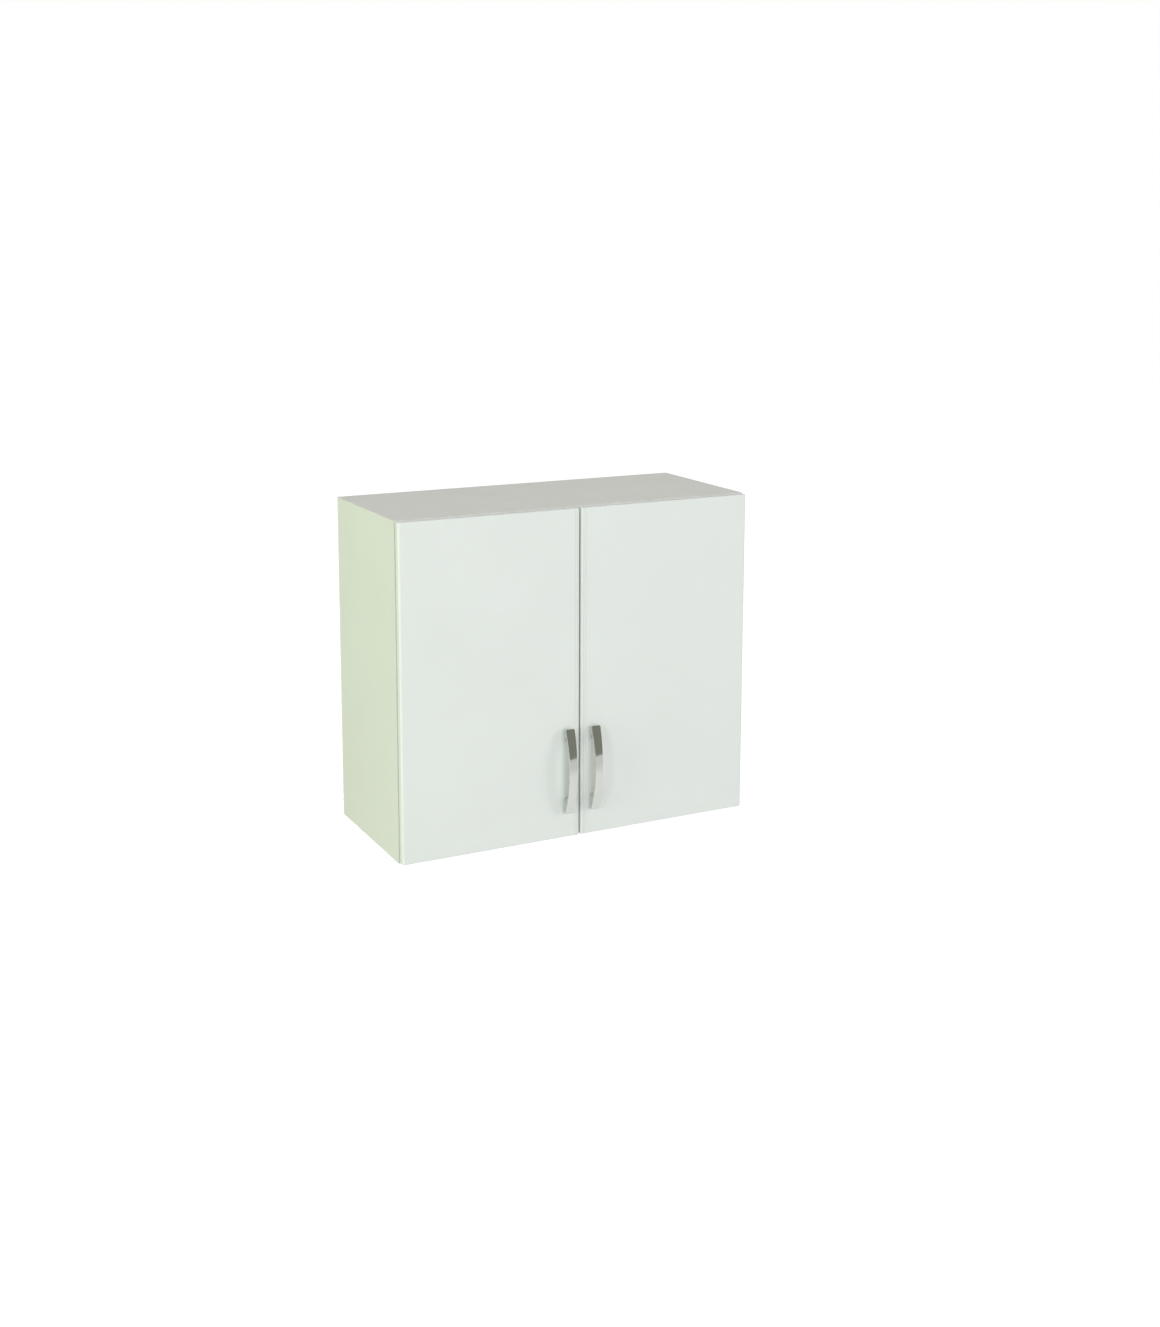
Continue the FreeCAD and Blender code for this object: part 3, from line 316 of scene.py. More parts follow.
def axes(tree, vector):
    """X, Y and Z of a vector."""
    return add(tree, "ShaderNodeSeparateXYZ", {"Vector": vector}).outputs


def place_of(tree):
    """Where a point lies in the object."""
    return add(tree, "ShaderNodeTexCoord").outputs["Object"]


def noise(tree, place, scale, detail, **more):
    """Soft random tone."""
    inputs = {"Vector": place, "Scale": scale, "Detail": detail, **more}
    return add(tree, "ShaderNodeTexNoise", inputs).outputs["Fac"]


# ---- effects that several finishes share ----

def fine_grain():
    """Small uneven tone and height, as on pressed or moulded surfaces."""
    tree, inlet, end = new_group("fine grain", "ShaderNodeTree", {"Scale": 900.0, "Cloud Scale": 6.0},
                                 {"Grain": 0.0, "Cloud": 0.0})
    place = place_of(tree)
    give(tree, end, Grain=noise(tree, place, inlet["Scale"], 3.0, Roughness=0.6),
         Cloud=noise(tree, place, inlet["Cloud Scale"], 4.0, Roughness=0.55))
    return tree


def worn_edge():
    """A mask along sharp edges, broken up by noise, and a normal that rounds them."""
    tree, inlet, end = new_group("worn edge", "ShaderNodeTree", {"Width": 0.0008, "Breakup": 60.0},
                                 {"Mask": 0.0, "Normal": (0.0, 0.0, 0.0)})
    rounded = add(tree, "ShaderNodeBevel", {"Radius": inlet["Width"]}, samples=4).outputs["Normal"]
    flat = add(tree, "ShaderNodeNewGeometry").outputs["Normal"]
    bend = ramp(tree, vector_maths(tree, "DOT_PRODUCT", rounded, flat, "Value"), 0.995, 0.80)
    patches = ramp(tree, noise(tree, place_of(tree), inlet["Breakup"], 3.0), 0.40, 0.62)
    give(tree, end, Mask=times(tree, bend, patches, clamp=True), Normal=rounded)
    return tree


def settled_dust():
    """A thin uneven film that settles on faces that look up."""
    tree, inlet, end = new_group("settled dust", "ShaderNodeTree", {"Amount": 0.3, "Scale": 14.0},
                                 {"Mask": 0.0})
    coords = add(tree, "ShaderNodeTexCoord").outputs
    facing = ramp(tree, axes(tree, coords["Normal"])["Z"], 0.55, 0.95)
    patches = ramp(tree, noise(tree, coords["Object"], inlet["Scale"], 6.0, Roughness=0.65),
                   0.35, 0.70, 0.25, 1.0)
    give(tree, end, Mask=times(tree, times(tree, facing, patches), inlet["Amount"], clamp=True))
    return tree


def board_core():
    """Where a coated board shows its raw core, and the core's chips.

    Axis is the direction of the board's thickness; Thin Low and Thin High are the distances from the
    frame's origin, along it, between which a face is raw; End is the half height that can be raw,
    above and below Mid Height.
    """
    tree, inlet, end = new_group(
        "board core", "ShaderNodeTree",
        {
            "Axis": (1.0, 0.0, 0.0), "Thin Low": 0.0, "Thin High": 1.0, "Mid Height": 0.0, "End": 10.0,
            "Light Chip": (0.52, 0.36, 0.20, 1.0), "Dark Chip": (0.24, 0.14, 0.065, 1.0),
        },
        {"Mask": 0.0, "Colour": (0.5, 0.5, 0.5, 1.0), "Height": 0.0},
    )
    place = place_of(tree)
    depth = maths(tree, "ABSOLUTE", vector_maths(tree, "DOT_PRODUCT", place, inlet["Axis"], "Value"))
    between = times(tree, maths(tree, "GREATER_THAN", depth, inlet["Thin Low"]),
                    maths(tree, "LESS_THAN", depth, inlet["Thin High"]))
    from_middle = maths(tree, "ABSOLUTE", minus(tree, axes(tree, place)["Z"], inlet["Mid Height"]))
    mask = times(tree, between, maths(tree, "LESS_THAN", from_middle, inlet["End"]))
    chips = add(tree, "ShaderNodeTexVoronoi", {"Vector": place, "Scale": 330.0, "Randomness": 1.0}).outputs
    tone = add(tree, "ShaderNodeSeparateColor", {"Color": chips["Color"]}).outputs["Red"]
    wobble = ramp(tree, noise(tree, place, 700.0, 2.0), 0.3, 0.7, 0.6, 1.0)
    share = times(tree, tone, wobble, clamp=True)
    give(tree, end, Mask=mask, Height=chips["Distance"],
         Colour=blend_colours(tree, share, inlet["Light Chip"], inlet["Dark Chip"]))
    return tree


def fine_scratches():
    """Fine lines along one direction, as polishing leaves on metal."""
    tree, inlet, end = new_group("fine scratches", "ShaderNodeTree",
                                 {"Stretch": (1.0, 1.0, 0.05), "Scale": 1500.0},
                                 {"Lines": 0.0, "Smudge": 0.0})
    place = place_of(tree)
    stretched = vector_maths(tree, "MULTIPLY", place, inlet["Stretch"])
    give(tree, end, Lines=noise(tree, stretched, inlet["Scale"], 2.0),
         Smudge=noise(tree, place, 45.0, 4.0, Distortion=0.6))
    return tree


def moulded_lines():
    """Two fine upright grooves on each door, at set distances from the cabinet's middle."""
    tree, inlet, end = new_group("moulded lines", "ShaderNodeTree",
                                 {"First": 0.0075, "Second": 0.0123, "Width": 0.0011}, {"Groove": 0.0})
    coords = add(tree, "ShaderNodeTexCoord").outputs
    across = maths(tree, "ABSOLUTE", axes(tree, coords["Object"])["X"])
    front = ramp(tree, axes(tree, coords["Normal"])["Y"], -0.80, -0.98)
    lines = []
    for name in ("First", "Second"):
        off = maths(tree, "ABSOLUTE", minus(tree, across, inlet[name]))
        lines.append(minus(tree, 1.0, over(tree, off, inlet["Width"]), clamp=True))
    give(tree, end, Groove=times(tree, maths(tree, "MAXIMUM", *lines), front))
    return tree


def use(tree, maker, **inputs):
    """Place a shared effect in a material with its own values; it is built once."""
    node = tree.nodes.new("ShaderNodeGroup")
    node.node_tree = shared(maker)
    for key, value in inputs.items():
        node.inputs[key.replace("_", " ").title()].default_value = value
    return node.outputs


def shared(maker):
    """The node tree that a function makes, built the first time it is asked for."""
    name = maker.__name__.replace("_", " ")
    return bpy.data.node_groups.get(name) or maker()


# ---- finishes ----

def new_finish(name, roughness, metallic=0.0):
    """A material with its Principled shader; returns material, tree and shader."""
    material = bpy.data.materials.new(name)
    material.use_nodes = True
    tree = material.node_tree
    shader = tree.nodes["Principled BSDF"]
    shader.inputs["Roughness"].default_value = roughness
    shader.inputs["Metallic"].default_value = metallic
    return material, tree, shader


def shaded(colour, share):
    """A colour made darker or lighter, and no lighter than full."""
    return [min(1.0, channel * share) for channel in colour]


def raise_surface(tree, shader, height, distance, strength=0.5, normal=None):
    """Feed a height through a bump to the shader's normal."""
    bump = add(tree, "ShaderNodeBump", {"Height": height, "Distance": distance, "Strength": strength})
    if normal is not None:
        tree.links.new(normal, bump.inputs["Normal"])
    give(tree, shader, Normal=bump.outputs["Normal"])


def coated(name, base, roughness, edge=0.6 * MM, grain=1100.0, rise=0.02 * MM, core=None, dust=0.0,
           lines=False):
    """White coated board or moulding: fine grain, soft edges, a little dust, where cut the core, and on doors
    fine grooves with painted shade.
    """
    colours = bpy.context.scene.cabinet_colours
    material, tree, shader = new_finish(name, roughness)
    texture = use(tree, fine_grain, scale=grain, cloud_scale=5.0)
    wear = use(tree, worn_edge, width=edge, breakup=90.0)
    clouds = ramp(tree, texture["Cloud"], 0.3, 0.7)
    tint = blend_colours(tree, clouds, shaded(base, 0.985), shaded(base, 1.012))
    tint = blend_colours(tree, times(tree, wear["Mask"], 0.35), tint, shaded(base, 0.80))
    if dust:
        tint = blend_colours(tree, use(tree, settled_dust, amount=dust)["Mask"], tint, colours.dust)
    rough = ramp(tree, texture["Cloud"], 0.25, 0.75, roughness - 0.05, roughness + 0.06)
    height = texture["Grain"]
    if core:
        raw = use(tree, board_core, light_chip=(*colours.chip, 1.0), dark_chip=(*colours.chip_dark, 1.0),
                  **core)
        tint = blend_colours(tree, raw["Mask"], tint, raw["Colour"])
        rough = ramp(tree, raw["Mask"], 0.0, 1.0, roughness, 0.9)
        height = plus(tree, height, times(tree, raw["Mask"], raw["Height"]))
    normal = wear["Normal"]
    if lines:
        groove_and_shade = use(tree, moulded_lines)["Groove"]
        # painted shade: the grooves are tinted up to 30 % towards a darker tone, standing in for the shade
        # that falls in them; the bump below cuts them in
        tint = blend_colours(tree, times(tree, groove_and_shade, 0.30), tint, shaded(base, 0.60))
        cut = {"Height": groove_and_shade, "Distance": 0.4 * MM, "Normal": normal}
        normal = add(tree, "ShaderNodeBump", cut, invert=True).outputs["Normal"]
    give(tree, shader, Base_Color=tint, Roughness=rough)
    raise_surface(tree, shader, height, rise, 0.5, normal)
    return material


def plated(name, base, roughness, stretch=(1.0, 1.0, 0.05), edge=0.3 * MM, tarnish=0.12):
    """Plated metal: fine lines, smudges in the gloss and slightly bright edges."""
    material, tree, shader = new_finish(name, roughness, metallic=1.0)
    marks = use(tree, fine_scratches, stretch=stretch, scale=1800.0)
    wear = use(tree, worn_edge, width=edge, breakup=200.0)
    smudge = ramp(tree, marks["Smudge"], 0.35, 0.70)
    tint = blend_colours(tree, times(tree, smudge, tarnish), base, shaded(base, 0.72))
    tint = blend_colours(tree, times(tree, wear["Mask"], 0.4), tint, shaded(base, 1.15))
    lines = ramp(tree, marks["Lines"], 0.3, 0.7, roughness * 0.75, roughness * 1.3)
    rough = plus(tree, lines, times(tree, smudge, roughness * 0.5))
    give(tree, shader, Base_Color=tint, Roughness=rough)
    raise_surface(tree, shader, marks["Lines"], 0.004 * MM, 0.25, wear["Normal"])
    return material


def back_board(name, inner, outer, face_y):
    """Thin fibreboard, painted white inside and bare brown outside, with its fine felted tone."""
    material, tree, shader = new_finish(name, 0.55)
    texture = use(tree, fine_grain, scale=420.0, cloud_scale=11.0)
    outside = maths(tree, "GREATER_THAN", axes(tree, place_of(tree))["Y"], face_y)
    fibre = ramp(tree, times(tree, texture["Grain"], texture["Cloud"]), 0.10, 0.45)
    brown = blend_colours(tree, fibre, shaded(outer, 0.85), shaded(outer, 1.15))
    white = blend_colours(tree, texture["Cloud"], shaded(inner, 0.97), inner)
    give(tree, shader, Base_Color=blend_colours(tree, outside, white, brown),
         Roughness=ramp(tree, outside, 0.0, 1.0, 0.45, 0.85))
    raise_surface(tree, shader, texture["Grain"], 0.08 * MM, 0.6)
    return material


def beech_wood(name, base):
    """Straight-grained beech along X with its short dark flecks."""
    material, tree, shader = new_finish(name, 0.6)
    marks = use(tree, fine_scratches, stretch=(0.06, 1.0, 1.0), scale=900.0)
    flecks = ramp(tree, marks["Lines"], 0.55, 0.70)
    tint = blend_colours(tree, flecks, base, shaded(base, 0.55))
    tint = blend_colours(tree, times(tree, marks["Smudge"], 0.3), tint, shaded(base, 1.25))
    give(tree, shader, Base_Color=tint)
    raise_surface(tree, shader, marks["Lines"], 0.04 * MM)
    return material


def clear_soft(name, base):
    """Clear soft plastic, a little cloudy."""
    material, tree, shader = new_finish(name, 0.22)
    shader.inputs["Transmission Weight"].default_value = 0.75
    shader.inputs["IOR"].default_value = 1.45
    texture = use(tree, fine_grain, scale=600.0, cloud_scale=180.0)
    give(tree, shader, Base_Color=blend_colours(tree, texture["Cloud"], shaded(base, 0.92), base),
         Roughness=ramp(tree, texture["Cloud"], 0.3, 0.7, 0.16, 0.30))
    return material


def finish(name):
    """A finish by name, made the first time it is asked for."""
    if name in bpy.data.materials:
        return bpy.data.materials[name]
    c = bpy.context.scene.cabinet_colours
    makers = {
        "edge band": lambda: coated(name, c.band, 0.42, edge=0.4 * MM),
        "door laminate": lambda: coated(name, c.door, 0.36, edge=0.9 * MM, grain=1500.0, rise=0.012 * MM,
                                        dust=0.10, lines=True),
        "moulded plastic": lambda: coated(name, c.plastic, 0.45, grain=700.0, rise=0.04 * MM),
        "polished chrome": lambda: plated(name, c.chrome, 0.075, tarnish=0.10),
        "nickel plate": lambda: plated(name, c.nickel, 0.26, edge=0.4 * MM),
        "zinc plate": lambda: plated(name, c.zinc, 0.34, stretch=(1.0, 0.2, 1.0), tarnish=0.25),
        "cast zinc": lambda: plated(name, c.casting, 0.50, stretch=(1.0, 1.0, 1.0), tarnish=0.35),
        "beech": lambda: beech_wood(name, c.beech),
        "soft dot": lambda: clear_soft(name, c.dot),
        "fibreboard": lambda: back_board(name, c.band, c.back, high("back_panel").y - 0.2 * MM),
    }
    return makers[name]()


def melamine(node):
    """Melamine for one board, with its own raw core where the board is cut."""
    lowest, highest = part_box(node)
    upright = node.startswith("side_panel")
    along = 0 if upright else 2
    near, far = sorted((abs(lowest[along]), abs(highest[along])))
    coat = 0.4 * MM
    half_height = (highest.z - lowest.z) / 2
    core = {
        "axis": (1.0, 0.0, 0.0) if upright else (0.0, 0.0, 1.0),
        "thin_low": near + coat,
        "thin_high": far - coat,
        "mid_height": (lowest.z + highest.z) / 2,
        "end": half_height - coat if upright else half_height + 1.0,
    }
    base = bpy.context.scene.cabinet_colours.board
    return coated("melamine " + node, base, 0.40, edge=0.7 * MM, core=core, dust=0.14)


def paint(material, *nodes):
    """Give some CAD nodes one material."""
    for node in nodes:
        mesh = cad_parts[node].data
        mesh.materials.clear()
        mesh.materials.append(material)


# ---- geometry node helpers ----

def solidified(name, maker, body, slot, node, points=((0, 0, 0),), aims=((0, 0, 1),), **inputs):
    """Run a node tree over some points and keep its plain mesh, in a CAD node's place, on one body.

    Aims are the directions that the shapes at the points face; a single aim serves every point.
    """
    mesh = bpy.data.meshes.new(name + " points")
    mesh.from_pydata([tuple(point) for point in points], [], [])
    facing = mesh.attributes.new("aim", "FLOAT_VECTOR", "POINT")
    for item, aim in zip(facing.data, itertools.cycle(aims)):
        item.vector = aim
    holder = bpy.data.objects.new(name + " points", mesh)
    bpy.context.scene.collection.objects.link(holder)
    modifier = holder.modifiers.new("shape", "NODES")
    modifier.node_group = shared(maker)
    sockets = {item.name: item.identifier for item in modifier.node_group.interface.items_tree
               if item.item_type == "SOCKET" and item.in_out == "INPUT"}
    for key, value in inputs.items():
        modifier[sockets[key.replace("_", " ").title()]] = value
    graph = bpy.context.evaluated_depsgraph_get()
    made = bpy.data.meshes.new_from_object(holder.evaluated_get(graph), depsgraph=graph)
    made.name = name
    holder.modifiers.remove(modifier)
    bpy.data.objects.remove(holder)
    piece = bpy.data.objects.new(name, made)
    bpy.context.scene.collection.objects.link(piece)
    if len(made.polygons) == 0:
        raise RuntimeError(name + " came out empty")
    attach(piece, body)
    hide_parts(node)


def gather(tree, *shapes):
    """Several geometries in one."""
    node = tree.nodes.new("GeometryNodeJoinGeometry")
    for shape in shapes:
        tree.links.new(shape, node.inputs["Geometry"])
    return node.outputs["Geometry"]


def moved(tree, shape, **place):
    """A geometry with a translation, rotation or scale."""
    inputs = {key.title(): value for key, value in place.items()}
    return add(tree, "GeometryNodeTransform", {"Geometry": shape, **inputs}).outputs["Geometry"]


def vector_of(tree, x=0.0, y=0.0, z=0.0):
    """A vector out of three numbers or sockets."""
    return add(tree, "ShaderNodeCombineXYZ", {"X": x, "Y": y, "Z": z}).outputs["Vector"]


def drum(tree, radius, depth, sides, top=None):
    """A closed drum or cone about Z, standing on its origin."""
    return add(tree, "GeometryNodeMeshCone", {
        "Vertices": sides, "Radius Bottom": radius, "Radius Top": radius if top is None else top,
        "Depth": depth,
    }).outputs["Mesh"]


def fused(tree, operation, shapes, **first):
    """Closed shapes joined into one solid, or cut from a first one."""
    node = add(tree, "GeometryNodeMeshBoolean", {**first, "Self Intersection": True},
               operation=operation, solver="EXACT")
    tree.links.new(gather(tree, *shapes), node.inputs["Mesh 2"])
    return node.outputs["Mesh"]


def turned(tree, steps, sides):
    """A closed turned shape about Z from (radius, height) steps, as stacked cones and two caps."""
    shapes = []
    for (r0, z0), (r1, z1) in zip(steps, steps[1:]):
        cone = add(tree, "GeometryNodeMeshCone", {
            "Vertices": sides, "Radius Bottom": r0, "Radius Top": r1, "Depth": z1 - z0,
        }, fill_type="NONE").outputs["Mesh"]
        shapes.append(moved(tree, cone, translation=(0.0, 0.0, z0)))
    for (radius, height), downward in ((steps[0], True), (steps[-1], False)):
        cap = add(tree, "GeometryNodeMeshCircle", {"Vertices": sides, "Radius": radius},
                  fill_type="NGON").outputs["Mesh"]
        if downward:
            cap = add(tree, "GeometryNodeFlipFaces", {"Mesh": cap}).outputs["Mesh"]
        shapes.append(moved(tree, cap, translation=(0.0, 0.0, height)))
    welded = add(tree, "GeometryNodeMergeByDistance",
                 {"Geometry": gather(tree, *shapes), "Distance": 0.002 * MM})
    return welded.outputs["Geometry"]


def copies(tree, points, shape):
    """One copy of a shape at each point, its Z axis along the point's own aim."""
    seats = add(tree, "GeometryNodeMeshToPoints", {"Mesh": points, "Radius": 1 * MM})
    aim = add(tree, "GeometryNodeInputNamedAttribute", {"Name": "aim"}, data_type="FLOAT_VECTOR")
    turned_to = add(tree, "FunctionNodeAlignRotationToVector", {"Vector": aim.outputs["Attribute"]}, axis="Z")
    return add(tree, "GeometryNodeInstanceOnPoints", {
        "Points": seats.outputs["Points"], "Instance": shape, "Rotation": turned_to.outputs["Rotation"],
    }).outputs["Instances"]


def closing(tree, end, shape, material, degrees=32):
    """The end of every tree: realise, smooth up to an angle and set the material."""
    real = add(tree, "GeometryNodeRealizeInstances", {"Geometry": shape}).outputs["Geometry"]
    edge_angle = add(tree, "GeometryNodeInputMeshEdgeAngle").outputs["Unsigned Angle"]
    sharp = maths(tree, "GREATER_THAN", edge_angle, math.radians(degrees))
    smooth = add(tree, "GeometryNodeSetShadeSmooth", {"Geometry": real, "Shade Smooth": True},
                 domain="FACE").outputs["Geometry"]
    keep = add(tree, "GeometryNodeSetShadeSmooth",
               {"Geometry": smooth, "Shade Smooth": False, "Selection": sharp}, domain="EDGE")
    give(tree, end, Geometry=add(tree, "GeometryNodeSetMaterial", {
        "Geometry": keep.outputs["Geometry"], "Material": material,
    }).outputs["Geometry"])


# ---- shapes of the fittings and handles ----

def new_shape(name, **sizes):
    """An empty geometry tree with named sizes and a material."""
    inputs = {key.replace("_", " "): value for key, value in sizes.items()}
    return new_group(name, "GeometryNodeTree", {"Geometry": None, **inputs, "Material": None},
                     {"Geometry": None})


def cross_headed_screws():
    """Cross-headed screws, one at each point, with their heads along the point's aim."""
    tree, size, end = new_shape(
        "cross headed screws", Head_Radius=4 * MM, Head_Height=2 * MM, Top_Share=0.7,
        Shank_Radius=2 * MM, Shank_Length=12 * MM, Recess=2 * MM,
    )
    rim = times(tree, size["Head Height"], 0.3)
    rise = times(tree, size["Head Height"], 0.7)
    top = times(tree, size["Head Radius"], size["Top Share"])
    base = drum(tree, size["Head Radius"], rim, 40)
    dome = moved(tree, drum(tree, size["Head Radius"], rise, 40, top), translation=vector_of(tree, z=rim))
    shank = moved(tree, drum(tree, size["Shank Radius"], size["Shank Length"], 24),
                  translation=vector_of(tree, z=times(tree, size["Shank Length"], -0.999)))
    body = fused(tree, "UNION", (base, dome, shank))
    wide = times(tree, size["Recess"], 2.0)
    thin = times(tree, size["Recess"], 0.42)
    deep = times(tree, size["Head Height"], 1.1)
    lift = vector_of(tree, z=size["Head Height"])
    cutters = []
    for x, y, degrees in ((wide, thin, 0), (thin, wide, 0), (thin, thin, 45)):
        block = add(tree, "GeometryNodeMeshCube", {"Size": vector_of(tree, x, y, deep)}).outputs["Mesh"]
        cutters.append(moved(tree, block, translation=lift, rotation=(0.0, 0.0, math.radians(degrees))))
    screw = fused(tree, "DIFFERENCE", cutters, **{"Mesh 1": body})
    closing(tree, end, copies(tree, size["Geometry"], screw), size["Material"])
    return tree


def round_caps():
    """Flat round caps with a softened rim, one at each point."""
    tree, size, end = new_shape("round caps", Radius=8.5 * MM, Thickness=1 * MM)
    wall, round_in, turns = 0.45, 0.12, 6
    steps = [(1.0, 0.0), (1.0, wall)]
    for i in range(1, turns + 1):
        a = math.radians(90) * i / turns
        steps.append((1.0 - round_in + round_in * math.cos(a), wall + 0.45 * math.sin(a)))
    steps += [(0.45, 0.98), (0.05, 1.0)]
    cap = moved(tree, turned(tree, steps, 48),
                scale=vector_of(tree, size["Radius"], size["Radius"], size["Thickness"]))
    closing(tree, end, copies(tree, size["Geometry"], cap), size["Material"], 50)
    return tree


def riveted_pins():
    """Hinge pins with a domed head at each end, one at each point, standing along Z."""
    tree, size, end = new_shape("riveted pins", Radius=1.25 * MM, Length=17.2 * MM)
    steps = [(0.55, -0.5), (0.85, -0.49), (1.0, -0.47), (1.0, 0.47), (0.85, 0.49), (0.55, 0.5)]
    pin = moved(tree, turned(tree, steps, 28),
                scale=vector_of(tree, size["Radius"], size["Radius"], size["Length"]))
    closing(tree, end, copies(tree, size["Geometry"], pin), size["Material"])
    return tree


def bow_handle():
    """A bowed, waisted strap on two posts. It stands out along -Y from its origin and runs along Z."""
    names = ("Length", "Holes", "End_Out", "Mid_Out", "Thick", "Width", "Waist", "Edge", "Corner", "Post",
             "Foot", "Flare")
    tree, size, end = new_shape("bow handle", **{name: 10 * MM for name in names}, Place=(0.0, 0.0, 0.0))
    half = times(tree, size["Length"], 0.5)
    inset = times(tree, size["Thick"], 0.5)
    end_y = minus(tree, inset, size["End Out"])
    arc = add(tree, "GeometryNodeCurveArc", {
        "Resolution": 97,
        "Start": vector_of(tree, y=end_y, z=times(tree, half, -1.0)),
        "Middle": vector_of(tree, y=minus(tree, inset, size["Mid Out"])),
        "End": vector_of(tree, y=end_y, z=half),
    }, mode="POINTS").outputs["Curve"]
    upright = add(tree, "GeometryNodeSetCurveNormal", {"Curve": arc, "Normal": (1.0, 0.0, 0.0)},
                  mode="FREE").outputs["Curve"]
    section = add(tree, "GeometryNodeCurvePrimitiveQuadrilateral",
                  {"Width": size["Width"], "Height": size["Thick"]}, mode="RECTANGLE").outputs["Curve"]
    rounded = add(tree, "GeometryNodeFilletCurve",
                  {"Curve": section, "Radius": size["Edge"], "Count": 5}, mode="POLY").outputs["Curve"]
    band = add(tree, "GeometryNodeCurveToMesh",
               {"Curve": upright, "Profile Curve": rounded, "Fill Caps": True}).outputs["Mesh"]

    # narrower towards the middle, and rounded in at the four corners
    where = axes(tree, add(tree, "GeometryNodeInputPosition").outputs["Position"])
    along = over(tree, where["Z"], half)
    narrowest = over(tree, size["Waist"], size["Width"])
    spread = times(tree, minus(tree, 1.0, narrowest), times(tree, along, along))
    to_end = minus(tree, half, maths(tree, "ABSOLUTE", where["Z"]))
    into = maths(tree, "MAXIMUM", minus(tree, size["Corner"], to_end), 0.0)
    rest = minus(tree, times(tree, size["Corner"], size["Corner"]), times(tree, into, into))
    kept = maths(tree, "SQRT", maths(tree, "MAXIMUM", rest, 0.0))
    corner = over(tree, times(tree, minus(tree, size["Corner"], kept), 2.0), size["Width"])
    share = minus(tree, plus(tree, narrowest, spread), corner)
    strap = add(tree, "GeometryNodeSetPosition", {
        "Geometry": band,
        "Position": vector_of(tree, times(tree, where["X"], share), where["Y"], where["Z"]),
    }).outputs["Geometry"]

    # two posts that reach the strap's middle line, whose radius follows from the bow
    rise = minus(tree, size["Mid Out"], size["End Out"])
    squares = plus(tree, times(tree, half, half), times(tree, rise, rise))
    radius = over(tree, squares, times(tree, rise, 2.0))
    hole = times(tree, size["Holes"], 0.5)
    flat = maths(tree, "SQRT", minus(tree, times(tree, radius, radius), times(tree, hole, hole)))
    drop = minus(tree, radius, flat)
    reach = minus(tree, minus(tree, size["Mid Out"], drop), inset)
    foot_radius = plus(tree, size["Post"], size["Flare"])
    solids = [strap]
    for sign in (-1.0, 1.0):
        seat = vector_of(tree, z=times(tree, hole, sign))
        for shape in (drum(tree, size["Post"], reach, 48),
                      drum(tree, foot_radius, size["Foot"], 48, size["Post"])):
            solids.append(moved(tree, shape, translation=seat, rotation=(math.radians(90), 0.0, 0.0)))
    placed = moved(tree, fused(tree, "UNION", solids), translation=size["Place"])
    closing(tree, end, placed, size["Material"], 38)
    return tree


# ---- one operator for each piece or group of like pieces ----

def middle_at(box, y):
    """The middle of a box, brought to a depth."""
    return (box[0].x + box[1].x) / 2, y, (box[0].z + box[1].z) / 2


def half_width(node):
    """Half of a node's width; the radius where its solids stand in one upright row."""
    return (high(node).x - low(node).x) / 2


class CABINET_OT_boards(bpy.types.Operator):
    """Melamine boards with their raw cores, edge bands and the fibreboard back"""

    bl_idname = "cabinet.boards"
    bl_label = "Carcass Boards"

    def execute(self, context):
        for node in ("side_panel_left", "side_panel_right", "top_panel", "bottom_panel", "shelf"):
            paint(melamine(node), node)
        for place in ("side_left", "side_right", "top", "bottom", "shelf"):
            paint(finish("edge band"), "edge_band_" + place)
        paint(finish("fibreboard"), "back_panel")
        return {"FINISHED"}


class CABINET_OT_doors(bpy.types.Operator):
    """Laminate on both doors"""

    bl_idname = "cabinet.doors"
    bl_label = "Doors"

    def execute(self, context):
        paint(finish("door laminate"), "door_left", "door_right")
        return {"FINISHED"}


class CABINET_OT_handles(bpy.types.Operator):
    """Bowed chrome handles"""

    bl_idname = "cabinet.handles"
    bl_label = "Bow Handles"

    def execute(self, context):
        sizes = {key: getattr(context.scene.handle_sizes, key) for key in HandleSizes.__annotations__}
        for side in SIDES:
            node = "handle_" + side
            solidified("bow_handle_" + side, bow_handle, side + "_door", "polished_chrome", node,
                       place=middle_at(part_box(node), high(node).y), material=finish("polished chrome"),
                       **sizes)
        return {"FINISHED"}


class CABINET_OT_handle_screws(bpy.types.Operator):
    """Pan-headed machine screws behind the handles"""

    bl_idname = "cabinet.handle_screws"
    bl_label = "Handle Screws"

    def execute(self, context):
        sizes = context.scene.fitting_sizes
        for side in SIDES:
            node = "handle_screws_" + side
            face = high("door_" + side).y
            solidified("machine_screws_" + side, cross_headed_screws, side + "_door", "zinc_plated_steel",
                       node, [middle_at(box, face) for box in islands(node)], [REARWARD],
                       head_radius=half_width(node), head_height=high(node).y - face, top_share=0.74,
                       shank_radius=sizes.handle_shank, shank_length=face - low(node).y,
                       recess=sizes.handle_recess, material=finish("zinc plate"))
        return {"FINISHED"}


class CABINET_OT_door_dots(bpy.types.Operator):
    """Clear soft dots at the doors' free corners"""

    bl_idname = "cabinet.door_dots"
    bl_label = "Door Dots"

    def execute(self, context):
        for side in SIDES:
            node = "door_bumpers_" + side
            solidified("soft_dots_" + side, round_caps, side + "_door", "soft_dot", node,
                       [middle_at(box, box[0].y) for box in islands(node)], [REARWARD],
                       radius=half_width(node), thickness=high(node).y - low(node).y,
                       material=finish("soft dot"))
        return {"FINISHED"}


class CABINET_OT_hinges(bpy.types.Operator):
    """Nickel-plated arms, plates, links and cups"""

    bl_idname = "cabinet.hinges"
    bl_label = "Hinges"

    def execute(self, context):
        parts = ("hinge_arm", "hinge_plate", "hinge_cup", "outer_link", "inner_link")
        for part, level, side in itertools.product(parts, LEVELS, SIDES):
            paint(finish("nickel plate"), "_".join((part, level, side)))
        paint(finish("zinc plate"), "hinge_cup_pins_left", "hinge_cup_pins_right")
        return {"FINISHED"}


